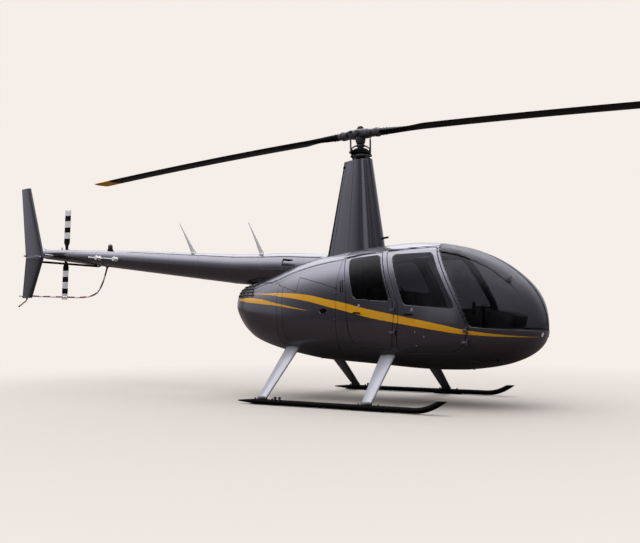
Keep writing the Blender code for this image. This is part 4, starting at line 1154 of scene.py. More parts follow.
def make_boom():
    rings = [((x, 0.0, z), radius) for x, z, radius in BOOM[::-1]]
    stations = []
    for (one, r1), (two, r2) in zip(rings, rings[1:]):
        for k in range(12):
            t = k / 12
            stations.append((Vector(one).lerp(Vector(two), t), r1 + (r2 - r1) * t))
    stations.append((Vector(rings[-1][0]), rings[-1][1]))
    boom = joined("boom_skin", [lathe((1, 0, 0), stations, 72)], CHARCOAL, 40)
    finish_piece(boom, ROOT, "tail_boom", slot="charcoal_paint")
    bands = []
    spots = []
    for x in BOOM_JOINTS:
        for shift in (-0.009, 0.009):
            z, radius = boom_at(x + shift)
            count = max(18, round(2 * math.pi * radius / 0.028))
            spots.extend(boom_point(x + shift, 2 * math.pi * k / count, 0.0004) for k in range(count))
        (z1, r1), (z2, r2) = boom_at(x + 0.018), boom_at(x - 0.018)
        if x < -1.45:
            bands.append(lathe(
                (1, 0, 0),
                (
                    ((x - 0.018, 0, z2), r2 - 0.002), ((x - 0.0175, 0, z2), r2 + 0.0007),
                    ((x + 0.0175, 0, z1), r1 + 0.0007), ((x + 0.018, 0, z1), r1 - 0.002),
                ),
                72,
            ))
    piece("boom_joint_bands", bands, CHARCOAL, ROOT)
    x = -1.46
    while x > -5.66:
        spots.append(boom_point(x, math.radians(-62), 0.0002))
        spots.append(boom_point(x, math.radians(242), 0.0002))
        x -= 0.034
    studs("boom_rivets", spots, CHARCOAL, ROOT, 0.0027, 0.0012)
    strap = []
    for x in (-4.362, -4.358, -4.318, -4.314):
        z, radius = boom_at(x)
        lift = 0.0035 if -4.36 < x < -4.316 else 0.001
        arc = [math.radians(200 + 140 * k / 24) for k in range(25)]
        outer = [(x, (radius + lift) * math.cos(a), z + (radius + lift) * math.sin(a)) for a in arc]
        inner = [(x, (radius - 0.003) * math.cos(a), z + (radius - 0.003) * math.sin(a)) for a in arc[::-1]]
        strap.append(outer + inner)
    low = boom_under(GUARD_X)
    stations = (((GUARD_X, 0, low + 0.004), 0.024), ((GUARD_X, 0, low - 0.006), 0.022),
                ((-4.340, 0, low - 0.010), 0.017), ((-4.343, 0, low - 0.030), 0.0155))
    clamp = [loft(strap), lathe((0, 0, -1), stations, 24)]
    piece("guard_clamp", clamp, DARK_RED, ROOT, smooth=40)


GUARD_X = -4.338
BEACON_X = -4.28
DRAIN_X = -5.36
BOOM_JOINTS = (-1.43, -1.885, -2.44, -2.98, -3.50, -4.00, -4.50, -5.00, -5.42, -5.69)


def make_boom_fairing():
    stations = (
        (-1.3995, 1.590, 0.210), (-1.25, 1.583, 0.216), (-1.10, 1.575, 0.220), (-0.95, 1.562, 0.2245),
        (-0.83, 1.550, 0.228), (-0.66, 1.536, 0.228), (-0.50, 1.520, 0.226), (-0.44, 1.510, 0.205),
        (-0.39, 1.50, 0.16), (-0.36, 1.49, 0.09),
    )
    rings = [circle((x, 0.0, z), (0, 1, 0), (0, 0, 1), radius, 72) for x, z, radius in stations]
    fairing = joined("boom_fairing_skin", [loft(rings)], CHARCOAL, 50)
    finish_piece(fairing, ROOT, "boom_fairing", slot="charcoal_paint")
    for side in (RIGHT, LEFT):
        bead = []
        spots = []
        for k in range(41):
            x = -1.36 + 0.86 * k / 40
            z, radius = boom_at(x)
            low = 0.0
            high = math.pi / 2
            for _ in range(24):
                angle = (low + high) / 2
                y = radius * math.cos(angle)
                if z + radius * math.sin(angle) > roof_height(x, y):
                    high = angle
                else:
                    low = angle
            normal = Vector((0.0, side * math.cos(angle), math.sin(angle)))
            point = Vector((x, 0, z)) + normal * (radius + 0.001)
            bead.append(point)
            above = Vector((0.0, side * math.cos(angle + 0.12), math.sin(angle + 0.12)))
            spots.append((Vector((x, 0, z)) + above * (radius + 0.0004), above))
        piece(f"fairing_seal_{side_word(side)}", [tube(bead, 0.004, 8)], RUBBER, ROOT)
        studs(f"fairing_screws_{side_word(side)}", spots[::2], WORN_SCREW, ROOT, 0.004, 0.0012)
    scoop = []
    for x0, x1, lift, low, high, mark in (
        (-1.00, -0.82, 0.016, 0.20, 0.56, 0), (-1.008, -0.970, 0.020, 0.20, 0.62, 1),
        (-1.008, -0.87, 0.020, 0.52, 0.66, 1),
    ):
        rows = []
        for x, share in ((x0, 1.0), ((x0 * 2 + x1) / 3, 0.75), (x1, 0.05)):
            z, radius = boom_at(x)
            out = lift * share
            heights = [-0.004, *(out * math.sin(math.pi * k / 6) ** 0.5 for k in range(1, 6)), -0.004]
            over = [(radius + height, low + (high - low) * k / 6) for k, height in enumerate(heights)]
            under = [(radius - 0.006, angle) for _, angle in over[::-1]]
            rows.append([
                Vector((x, RIGHT * reach * math.cos(angle), z + reach * math.sin(angle)))
                for reach, angle in over + under
            ])
        scoop.append(loft(rows, mark))
    piece("engine_air_scoop", scoop, [CHARCOAL, BLACK], ROOT)


def side_word(side):
    return "left" if side == LEFT else "right"


# Height, x of the front and of the back, thickness
PYLON = ((1.55, 0.34, -0.50, 0.30), (2.87, 0.150, -0.220, 0.165))
PYLON_TOP = 2.8695
PYLON_BAND_Z = 2.845


def pylon_outline(z, count=24):
    """The pylon's section at height z as (x, y) points."""
    (z0, front0, back0, thick0), (z1, front1, back1, thick1) = PYLON
    t = (z - z0) / (z1 - z0)
    front = front0 + (front1 - front0) * t
    back = back0 + (back1 - back0) * t
    thick = thick0 + (thick1 - thick0) * t
    return [(front - run, rise) for run, rise in foil(front - back, thick, count)]


def pylon_foot(index, count=24):
    z = 1.80
    for _ in range(6):
        x, y = pylon_outline(z, count)[index]
        z = roof_height(x, y)
    return z


def pylon_line(index, out, low, high, steps=24, count=24):
    """A line up the pylon through one point of its section, moved outwards."""
    made = []
    total = 2 * count + 1
    for k in range(steps + 1):
        z = low + (high - low) * k / steps
        ring = pylon_outline(z, count)
        x, y = ring[index]
        bx, by = ring[(index - 1) % total]
        ax, ay = ring[(index + 1) % total]
        normal = Vector((ay - by, -(ax - bx), 0.0)).normalized()
        if normal.y * y < 0:
            normal = -normal
        made.append((Vector((x, y, z)) + normal * out, normal))
    return made


def make_pylon():
    count = 24
    total = 2 * count + 1
    feet = [pylon_foot(k) for k in range(total)]
    rings = []
    for row in range(31):
        t = row / 30
        ring = []
        for k in range(total):
            z = feet[k] - 0.003 + (PYLON_TOP - feet[k] + 0.003) * t
            x, y = pylon_outline(z)[k]
            ring.append((x, y, z))
        rings.append(ring)
    cap = [(x * 0.93 - 0.003, y * 0.86, PYLON_TOP) for x, y, _ in rings[-1]]
    dish = [(x, y, 2.862) for x, y, _ in cap]
    pylon = joined("pylon_skin", [loft([*rings, cap, dish])], CHARCOAL, 38)
    finish_piece(pylon, ROOT, "mast_fairing", slot="charcoal_paint")
    foot = [Vector((*pylon_outline(feet[k])[k], feet[k] + 0.002)) for k in range(total)]
    flange = [tube([*foot, foot[0]], 0.0045, 8)]
    lines = []
    spots = []
    for index in (5, 9, 13, 19):
        for k in (index, total - index):
            low = feet[k % total] + 0.03
            made = pylon_line(k % total, 0.0004, low, PYLON_BAND_Z)
            lines.append(tube([point for point, _ in made], 0.0022, 6))
            spots.extend(made[1:-1] if index in (9, 19) else [])
    band = [Vector((*pylon_outline(PYLON_BAND_Z)[k], PYLON_BAND_Z)) for k in range(total)]
    lines.append(tube([*band, band[0]], 0.0026, 6))
    piece("pylon_flange", flange, RUBBER, ROOT, smooth=60)
    piece("pylon_ribs", lines, CHARCOAL, ROOT, smooth=60)
    studs("pylon_screws", [(p + n * 0.001, n) for p, n in spots], WORN_SCREW, ROOT, 0.0035, 0.0012)
    lamp = [
        rod((-0.205, 0.0, 2.800), (-0.236, 0.0, 2.800), 0.017, 20),
        ball((-0.237, 0, 2.80), 0.014, 1, 0.8, 16, (1, 0, 0))
    ]
    piece("pylon_lamp", lamp, [BLACK, LAMP_GLASS], ROOT)
    pitot = [
        tube(
            [(0.20, 0, 1.892), (0.30, 0, 1.899), (0.345, 0, 1.904), (0.362, 0, 1.906)],
            [0.013, 0.013, 0.012, 0.009], 20
        ),
        rod((0.252, 0, 1.8955), (0.292, 0, 1.8985), 0.018, 20, 0, 0.014)
    ]
    piece("pitot_tube", pitot, BLACK, ROOT)


# Main rotor


BLADE_ANGLE = math.radians(175.4)
BLADE_TILT = 0.0345
BLADE_SAG = 0.0194
BLADE_BASE_Z = 3.188
ROTOR_RADIUS = 5.029
BLADE_CHORD = 0.254
BLADE_AHEAD = 0.32
TIP_START = 4.99
TIP_LENGTH = 0.039
TIP_BAND_START = 4.655
HUB_Z = 3.19
ALONG = Vector((math.cos(BLADE_ANGLE), math.sin(BLADE_ANGLE), 0.0))
ACROSS = Vector((-ALONG.y, ALONG.x, 0.0))
UP = Vector((0.0, 0.0, 1.0))
LEFTWARD = Vector((0.0, 1.0, 0.0))
BLADE_PROFILE = ((0.30, 0.110, 0.085), (0.42, 0.110, 0.080), (0.55, 0.118, 0.068), (0.80, 0.195, 0.044),
                 (0.95, 0.252, 0.033), (1.10, BLADE_CHORD, 0.031), (ROTOR_RADIUS, BLADE_CHORD, 0.030))


def blade_z(sign, radius):
    return BLADE_BASE_Z + sign * BLADE_TILT * radius - BLADE_SAG * radius**1.5


def make_blades():
    radii = [0.30, 0.33, 0.36, 0.42, 0.48, 0.55, 0.62, 0.69, 0.75, 0.80, 0.85, 0.90, 0.95, 1.02, 1.10]
    radii += [1.2 + 0.1 * k for k in range(38)] + [TIP_START, 5.012, 5.024, ROTOR_RADIUS]
    columns = list(zip(*BLADE_PROFILE))
    for word, sign in (("aft", 1), ("fore", -1)):
        rings = []
        for radius in radii:
            chord = float(smooth_through(columns[0], columns[1], radius)[0])
            thickness = float(smooth_through(columns[0], columns[2], radius)[0])
            end = max(0.0, (radius - TIP_START) / TIP_LENGTH)
            thickness *= 1 - 0.55 * end**2
            ring = []
            for run, rise in foil(chord, thickness, 18):
                run = run + 0.012 * end**2 * (1 - 2 * run / chord)
                flat = sign * ALONG * radius + sign * ACROSS * (BLADE_AHEAD * chord - run)
                ring.append((flat.x, flat.y, blade_z(sign, radius) + rise))
            rings.append(ring)
        finish = banded(
            f"blade_paint_{word}", (0, 0, 0), sign * ALONG, (TIP_BAND_START,), (BLADE_BLACK, TIP_GOLD), 0.42
        )
        blade = joined(f"blade_{word}_skin", [loft(rings)], finish, 42)
        finish_piece(blade, "main_rotor", f"main_blade_{word}", slot="black_paint")
        parts = []
        for radius in (0.33, 0.37):
            for face in (1, -1):
                spot = sign * ALONG * radius + UP * (blade_z(sign, radius) + face * 0.038)
                parts.extend(bolt(spot, UP * face, 0.010, 0.006))
        piece(f"blade_bolts_{word}", parts, STEEL, "main_rotor")
        plates = []
        for reach, inset, lift in ((1.42, 0.050, 0.0006), (1.20, 0.030, 0.0011)):
            for face in (1, -1):
                strip = []
                for k in range(9):
                    radius = 0.99 + (reach - 0.99) * k / 8
                    narrow = 0.085 * (1 - 0.7 * (k / 8) ** 2)
                    for_ring = []
                    for run in (inset, inset + narrow / 2, inset + narrow):
                        t = run / BLADE_CHORD
                        flat = sign * ALONG * radius + sign * ACROSS * (BLADE_AHEAD * BLADE_CHORD - run)
                        for_ring.append((flat, foil_half(t, 0.031)))
                    top = [(f.x, f.y, blade_z(sign, radius) + face * (h + lift)) for f, h in for_ring]
                    under = [(f.x, f.y, blade_z(sign, radius) + face * (h - 0.003)) for f, h in for_ring]
                    strip.append(top + under[::-1])
                plates.append(loft(strip))
        piece(f"blade_doublers_{word}", plates, BLACK, "main_rotor", smooth=30)


def hub_ring(reach, half, height, count=28, roundness=3.2):
    tilt = Vector((ALONG.x, ALONG.y, BLADE_TILT)).normalized()
    over = tilt.cross(ACROSS)
    over = over if over.z > 0 else -over
    centre = tilt * reach + UP * (HUB_Z - 0.003 * min(1.0, abs(reach) / 0.3))
    ring = []
    for k in range(count):
        angle = 2 * math.pi * k / count
        c = math.cos(angle)
        s = math.sin(angle)
        a = math.copysign(abs(c) ** (2 / roundness), c)
        b = math.copysign(abs(s) ** (2 / roundness), s)
        ring.append(centre + ACROSS * a * half + over * b * height)
    return ring


def make_rotor_head():
    stations = (
        (-0.2996, 0.052, 0.040), (-0.27, 0.054, 0.042), (-0.262, 0.062, 0.047), (-0.21, 0.062, 0.049),
        (-0.20, 0.056, 0.045), (-0.135, 0.056, 0.046), (-0.125, 0.070, 0.052), (-0.075, 0.076, 0.055),
        (0.0, 0.080, 0.057), (0.075, 0.076, 0.055), (0.125, 0.070, 0.052), (0.135, 0.056, 0.046),
        (0.20, 0.056, 0.045), (0.21, 0.062, 0.049), (0.262, 0.062, 0.047), (0.27, 0.054, 0.042),
        (0.2996, 0.052, 0.040),
    )
    light = [loft([hub_ring(*station) for station in stations])]
    light.append(spun(
        (0, 0, 0), UP, ((3.062, 0.036), (3.072, 0.050), (3.10, 0.060), (3.15, 0.064), (3.17, 0.060)), 40
    ))
    steel = [
        spun(
            (0, 0, 0), UP,
            (
                (2.9256, 0.036), (3.03, 0.036), (3.032, 0.044), (3.058, 0.044), (3.060, 0.034), (3.12, 0.034),
                (3.124, 0.052), (3.140, 0.052)
            ),
            40
        ),
        spun(
            (0, 0, 0), UP,
            (
                (3.235, 0.050), (3.249, 0.050), (3.253, 0.041), (3.262, 0.041), (3.264, 0.030),
                (3.279, 0.030), (3.2846, 0.024)
            ),
            40
        ),
        hexagon((0, 0, 3.254), (0, 0, 3.2725), 0.040),
        rod(-ACROSS * 0.104 + UP * HUB_Z, ACROSS * 0.104 + UP * HUB_Z, 0.019, 28)
    ]
    dark = []
    tilt = Vector((ALONG.x, ALONG.y, BLADE_TILT)).normalized()
    for sign in (1, -1):
        steel.append(hexagon(ACROSS * sign * 0.082 + UP * HUB_Z, ACROSS * sign * 0.098 + UP * HUB_Z, 0.031))
        steel.append(rod(ACROSS * sign * 0.079 + UP * HUB_Z, ACROSS * sign * 0.083 + UP * HUB_Z, 0.036, 28))
        hinge = tilt * sign * 0.168 + UP * (HUB_Z - 0.002)
        steel.append(pin(hinge, ACROSS * 0.082, 0.014, 24))
        for end in (1, -1):
            steel.append(hexagon(hinge + ACROSS * end * 0.058, hinge + ACROSS * end * 0.074, 0.024))
            steel.append(rod(hinge + ACROSS * end * 0.055, hinge + ACROSS * end * 0.059, 0.028, 24))
        dark.append(loft([
            hub_ring(sign * r, h, v, 28, 2.4)
            for r, h, v in (
                (0.232, 0.058, 0.050), (0.238, 0.067, 0.054), (0.246, 0.060, 0.050), (0.254, 0.067, 0.054),
                (0.260, 0.058, 0.049)
            )
        ]))
        outer = ACROSS * sign * 0.150 + ALONG * sign * 0.045
        root = ALONG * sign * 0.165
        link_low = outer + UP * 2.945
        link_high = outer + UP * 3.193
        for centre in (link_low, link_high):
            steel.append(pin(centre, ALONG * 0.013, 0.017, 24))
            steel.append(pin(centre, ALONG * 0.019, 0.007, 14))
        steel.append(tube(
            [
                link_low + UP * 0.010, link_low + UP * 0.045, link_low + UP * 0.050, link_high - UP * 0.050,
                link_high - UP * 0.045, link_high - UP * 0.010
            ],
            [0.006, 0.006, 0.0105, 0.0105, 0.006, 0.006], 20
        ))
        for height in (0.040, 0.196):
            steel.append(hexagon(link_low + UP * height, link_low + UP * (height + 0.009), 0.011))
        horn = [
            outer - ALONG * sign * 0.012 + UP * 3.193, outer + ALONG * sign * 0.025 + UP * 3.194,
            outer * 0.80 + ALONG * sign * 0.090 + UP * 3.193,
            root * 1.02 + ACROSS * sign * 0.068 + UP * 3.191, root * 1.10 + ACROSS * sign * 0.030 + UP * 3.190
        ]
        light.append(tube(bent(horn, 0.05), 0.0135, 16))
    plate = []
    for sign in (1, -1):
        tip = (ACROSS * 0.150 + ALONG * 0.045) * sign
        out = tip.normalized()
        square = Vector((-out.y, out.x, 0))
        web = [
            tip + out * 0.013 + square * 0.015, tip + out * 0.013 - square * 0.015,
            out * 0.04 - square * 0.105, out * 0.04 + square * 0.105
        ]
        plate.append(slab([(p.x, p.y) for p in web], 2.9375, 2.9515))
        web = [
            tip * 0.93 + square * 0.008, tip * 0.93 - square * 0.008, out * 0.02 - square * 0.085,
            out * 0.02 + square * 0.085
        ]
        plate.append(slab([(p.x, p.y) for p in web], 2.9615, 2.9700))
        for end in (1, -1):
            rib = [tip + square * end * 0.009, out * 0.045 + square * end * 0.088]
            plate.append(bar(rib[0], rib[1], 0.0045, 2.951, 2.975))
    plate.append(spun(
        (0, 0, 0), UP,
        (
            (2.9315, 0.110), (2.934, 0.117), (2.952, 0.117), (2.956, 0.110), (2.960, 0.100), (2.986, 0.096),
            (3.000, 0.084), (3.010, 0.060), (3.014, 0.040)
        ),
        48
    ))
    for angle in range(8):
        spot = Vector((
            math.cos(angle * math.pi / 4 + 0.2), math.sin(angle * math.pi / 4 + 0.2), 0
        )) * 0.088 + UP * 2.9565
        steel.extend(bolt(spot, UP, 0.0065, 0.005))
    out = (ALONG + ACROSS * 0.75).normalized()
    side = Vector((-out.y, out.x, 0))
    for sign in (1, -1):
        d = out * sign
        knee = d * 0.112 + UP * 3.012
        steel.append(tube([d * 0.040 + UP * 3.046, d * 0.070 + UP * 3.040, knee], [0.011, 0.009, 0.008], 14))
        steel.append(tube([knee, d * 0.104 + UP * 2.98, d * 0.094 + UP * 2.957], [0.008, 0.009, 0.011], 14))
        steel.append(pin(knee, side * 0.016, 0.011, 20))
        steel.append(pin(d * 0.042 + UP * 3.046, side * 0.018, 0.012, 20))
    piece(
        "rotor_hub", light, HUB_GREY, "main_rotor", "rotor_head", slot="dark_steel", smooth=38, bevel=0.0012
    )
    piece("rotor_mast_and_links", steel, DARK_METAL, "main_rotor", smooth=38)
    piece("swashplate_turning", plate, BLACK, "main_rotor", bevel=0.0012)
    piece("blade_root_boots", dark, RUBBER, "main_rotor", smooth=50)


def make_swashplate():
    boot = []
    for k in range(9):
        boot.append(((0, 0, 2.8705 + 0.0034 * k), 0.058 if k % 2 else 0.050))
    parts = [
        lathe(UP, boot, 40, mark=1),
        spun(
            (0, 0, 0), UP,
            (
                (2.897, 0.060), (2.899, 0.106), (2.902, 0.112), (2.921, 0.112), (2.9235, 0.106),
                (2.9238, 0.060)
            ),
            48
        )
    ]
    for angle in (0.0, 2.25, -2.25):
        out = Vector((math.cos(angle), math.sin(angle), 0))
        side = Vector((-out.y, out.x, 0))
        parts.append(bar(out * 0.09, out * 0.128, 0.014, 2.901, 2.917))
        foot = Vector((0.115 if angle == 0 else -0.075, out.y * 0.055, 2.872))
        top = out * 0.120 + UP * 2.905
        parts.append(tube([foot, top], 0.007, 14))
        parts.append(pin(top, side * 0.012, 0.012, 20))
        parts.append(rod(foot - UP * 0.0015, foot + UP * 0.010, 0.015, 20, 1))
    piece(
        "swashplate_fixed", parts, [HUB_GREY, RUBBER], ROOT, "swashplate_lower", slot="cast_alloy",
        bevel=0.001
    )


# Tail


TAIL_X = -5.893
TAIL_Y = 0.53
TAIL_Z = 2.07
FIN_Y = -0.28
FIN_HALF = 0.020
CAP_LENGTH = 0.395
FIN_ROOT = (-5.43, -5.865, 1.955)
FIN_TOP = (-5.78, -6.000, 3.060)
FIN_FOOT = (-5.70, -5.930, 1.320)


def make_tail_rotor():
    axis = Vector((0, 1, 0))
    centre = Vector((TAIL_X, TAIL_Y, TAIL_Z))
    lean = math.radians(2.0)
    up = Vector((math.sin(lean), 0, math.cos(lean)))
    fore = Vector((up.z, 0, -up.x))
    stations = [
        (0.0383, 0.060, 0.030), (0.09, 0.062, 0.029), (0.14, 0.070, 0.026), (0.17, 0.105, 0.023),
        (0.20, 0.140, 0.020)
    ]
    stations += [
        (0.20 + 0.0531 * k, 0.140, 0.020 - 0.0004 * k) for k in range(1, 11)
    ] + [(0.747, 0.138, 0.011), (0.752, 0.132, 0.006)]
    edges = (0.270, 0.372, 0.458, 0.566, 0.655)
    colours = (BLADE_BLACK, ENAMEL, BLADE_BLACK, ENAMEL, BLADE_BLACK, ENAMEL)
    for word, sign in (("upper", 1), ("lower", -1)):
        rings = []
        for radius, chord, thickness in stations:
            rings.append([
                tuple(centre + sign * up * radius + fore * sign * (chord / 2 - run) + axis * rise)
                for run, rise in foil(chord, thickness, 14)
            ])
        finish = banded(f"tail_blade_paint_{word}", tuple(centre), sign * up, edges, colours, 0.34)
        blade = joined(f"tail_blade_{word}_skin", [loft(rings)], finish, 42)
        finish_piece(blade, "tail_rotor", f"tail_blade_{word}", slot="white_paint")
    hub = [
        spun(
            centre, axis,
            (
                (-0.0988, 0.020), (-0.035, 0.020), (-0.034, 0.030), (-0.030, 0.0372), (0.026, 0.0372),
                (0.030, 0.032), (0.031, 0.020), (0.044, 0.019), (0.045, 0.014)
            ),
            36
        ),
        hexagon(centre + axis * 0.031, centre + axis * 0.041, 0.024),
        spun(centre, axis, ((-0.080, 0.024), (-0.078, 0.044), (-0.062, 0.044), (-0.060, 0.024)), 36)
    ]
    for sign in (1, -1):
        root = centre + up * sign * 0.060
        for face in (1, -1):
            hub.extend(bolt(root + axis * face * 0.0135, axis * face, 0.009, 0.008))
        arm = centre - axis * 0.070 + fore * sign * 0.052
        horn = centre + up * sign * 0.085 + fore * sign * 0.050
        hub.append(tube([centre - axis * 0.070 + fore * sign * 0.03, arm], 0.008, 14))
        hub.append(tube([arm, horn - axis * 0.012], 0.0055, 14))
        hub.append(pin(arm, up * 0.009, 0.010, 18))
        hub.append(rod(horn - axis * 0.020, horn + axis * 0.002, 0.009, 18))
        hub.append(tube([horn, centre + up * sign * 0.095 + fore * sign * 0.022], [0.008, 0.010], 14))
    piece("tail_hub_and_links", hub, STEEL, "tail_rotor", "tail_rotor_hub", slot="dark_steel", smooth=38)


def make_gearbox():
    end_x, end_z, _ = BOOM[-1]
    parts = [
        lathe(
            (1, 0, 0),
            (
                ((TAIL_X - 0.110, 0, TAIL_Z), 0.040), ((TAIL_X - 0.108, 0, TAIL_Z), 0.047),
                ((TAIL_X - 0.085, 0, TAIL_Z), 0.050), ((TAIL_X - 0.084, 0, TAIL_Z), 0.068),
                ((TAIL_X - 0.074, 0, TAIL_Z), 0.071), ((TAIL_X + 0.060, 0, TAIL_Z), 0.071),
                ((TAIL_X + 0.070, 0, TAIL_Z - 0.003), 0.064), ((end_x - 0.030, 0, end_z + 0.010), 0.060),
                ((end_x - 0.016, 0, end_z), 0.060), ((end_x - 0.015, 0, end_z), 0.072),
                ((end_x - 0.0005, 0, end_z), 0.0735)
            ),
            48
        ),
        spun(
            (TAIL_X, 0, TAIL_Z), (0, 1, 0),
            (
                (0.05, 0.056), (0.085, 0.056), (0.088, 0.064), (0.100, 0.064), (0.103, 0.052), (0.20, 0.042),
                (0.30, 0.034), (0.42, 0.030), (0.4303, 0.027)
            ),
            48
        ),
        rod((TAIL_X - 0.02, 0, TAIL_Z + 0.066), (TAIL_X - 0.02, 0, TAIL_Z + 0.085), 0.014, 20),
        hexagon((TAIL_X - 0.02, 0, TAIL_Z + 0.083), (TAIL_X - 0.02, 0, TAIL_Z + 0.093), 0.013),
        hexagon((TAIL_X, 0, TAIL_Z - 0.083), (TAIL_X, 0, TAIL_Z - 0.066), 0.010)
    ]
    for k in range(5):
        x = TAIL_X - 0.050 + 0.023 * k
        parts.append(spun(
            (0, 0, TAIL_Z), (1, 0, 0),
            ((x - 0.003, 0.060), (x - 0.002, 0.076), (x + 0.002, 0.076), (x + 0.003, 0.060)), 48
        ))
    for k in range(8):
        angle = math.pi * (k / 4 + 0.12)
        d = Vector((0, math.cos(angle), math.sin(angle)))
        parts.extend(bolt(Vector((end_x - 0.015, 0, end_z)) + d * 0.066, (-1, 0, 0), 0.0055, 0.005))
        d = Vector((math.cos(angle), 0, math.sin(angle)))
        parts.extend(bolt(Vector((TAIL_X, 0.100, TAIL_Z)) + d * 0.0585, (0, 1, 0), 0.005, 0.005))
    parts.append(tube(
        bent(
            [
                (TAIL_X + 0.10, 0.045, TAIL_Z - 0.05), (TAIL_X + 0.03, 0.075, TAIL_Z - 0.062),
                (TAIL_X + 0.0, 0.20, TAIL_Z - 0.055), (TAIL_X + 0.03, 0.40, TAIL_Z - 0.035)
            ],
            0.05
        ),
        0.0065, 12
    ))
    piece("tail_gear_case", parts, ALLOY, ROOT, "tail_gearbox", slot="cast_alloy", smooth=38)


def fin_rings(lower, upper, steps, count=18, y=FIN_Y, half=FIN_HALF):
    rings = []
    for k in range(steps + 1):
        t = k / steps
        lead, trail, z = (a + (b - a) * t for a, b in zip(lower, upper))
        rings.append([(lead - run, y + rise, z) for run, rise in foil(lead - trail, 2 * half, count)])
    return rings


def fin_bead(lower, upper, share):
    """A joint round the fin, at this share of the way from one end to the other."""
    lead, trail, z = (a + (b - a) * share for a, b in zip(lower, upper))
    section = foil(lead - trail, 2 * FIN_HALF, 18)
    ring = [Vector((lead - run, FIN_Y + rise * 1.02, z)) for run, rise in section]
    return tube([*ring, ring[0]], 0.0026, 6)


def make_fins():
    lead, trail, z = FIN_ROOT
    for name, lower, upper, node_name in (
        ("upper_fin_skin", (lead, trail, z + 0.0004), FIN_TOP, "upper_fin"),
        ("lower_fin_skin", FIN_FOOT, (lead, trail, z), "lower_fin"),
    ):
        # The lower fin gets the charcoal darkened as painted shade
        fin = joined(
            name, [loft(fin_rings(lower, upper, 16))], CHARCOAL if node_name == "upper_fin" else LOWER_FIN_PAINTED_SHADE, 42
        )
        finish_piece(fin, ROOT, node_name, slot="charcoal_paint")
    beads = [
        fin_bead(FIN_ROOT, FIN_TOP, 0.02), fin_bead(FIN_ROOT, FIN_TOP, 0.985),
        fin_bead(FIN_ROOT, FIN_FOOT, 0.03)
    ]
    spots = []
    for lower, upper in ((FIN_ROOT, FIN_TOP), (FIN_FOOT, FIN_ROOT)):
        rings = fin_rings(lower, upper, 30)
        for index in (6, 12):
            for k in (index, len(rings[0]) - index):
                side = 1 if index == k else -1
                line = [Vector(ring[k]) for ring in rings[1:-1]]
                spots.extend((p + Vector((0, side * 0.0003, 0)), Vector((0.0, side, 0.0))) for p in line)
    piece("fin_joints", beads, CHARCOAL, ROOT, smooth=60)
    cap = []
    for out, scale in ((0.0195, 0.90), (0.030, 0.90), (0.034, 0.86), (0.035, 0.70)):
        cap.append([
            (
                lead - 0.02 - CAP_LENGTH * (0.5 + (t / CAP_LENGTH - 0.5) * scale), FIN_Y - out,
                z - 0.012 + 1.25 * h * scale
            )
            for t, h in foil(CAP_LENGTH, 0.050, 18)
        ])
    rim = [Vector((x, FIN_Y - 0.0300, height)) for x, _, height in cap[1]]
    piece(
        "fin_joint_cap", [loft(cap), tube([*rim, rim[0]], 0.0042, 8, 1)], [CHARCOAL, ALLOY], ROOT, smooth=50
    )
    studs("fin_rivets", spots, CHARCOAL, ROOT, 0.0028, 0.0011)
    stab_z = z + 0.030
    rings = []
    for y in (FIN_Y + 0.0203, -0.20, -0.14, -0.085, -0.02):
        rings.append([(lead - run, y, stab_z + rise) for run, rise in foil(lead - trail, 0.042, 16)])
    stab = joined("stabilizer_skin", [loft(rings)], CHARCOAL, 42)
    finish_piece(stab, ROOT, "stabilizer", slot="charcoal_paint")
    light = [
        spun((0, FIN_Y, 1.99), (-1, 0, 0), ((5.862, 0.012), (5.885, 0.0165), (5.893, 0.0165)), 24),
        spun((0, FIN_Y, 1.99), (-1, 0, 0), ((5.893, 0.0145), (5.905, 0.0135), (5.914, 0.008)), 24, mark=1),
    ]
    piece("tail_light", light, [ALLOY, LAMP_GLASS], ROOT)


def pieces_along(path, lengths, radius, count=14):
    """A round bar cut into lengths, each with the next of the marks in turn: (length, mark)."""
    points = [Vector(point) for point in path]
    run = [0.0]
    for one, two in zip(points, points[1:]):
        run.append(run[-1] + (two - one).length)

    def at(s):
        k = min(len(points) - 2, max(0, int(np.searchsorted(run, s)) - 1))
        return points[k].lerp(points[k + 1], (s - run[k]) / (run[k + 1] - run[k]))

    parts = []
    start = 0.0
    k = 0
    while start < run[-1] - 1e-4:
        length, mark = lengths[k % len(lengths)]
        end = min(run[-1], start + length)
        middle = [points[i] for i, s in enumerate(run) if start + 1e-4 < s < end - 1e-4]
        parts.append(tube([at(start), *middle, at(end)], radius, count, mark))
        start = end
        k += 1
    return parts


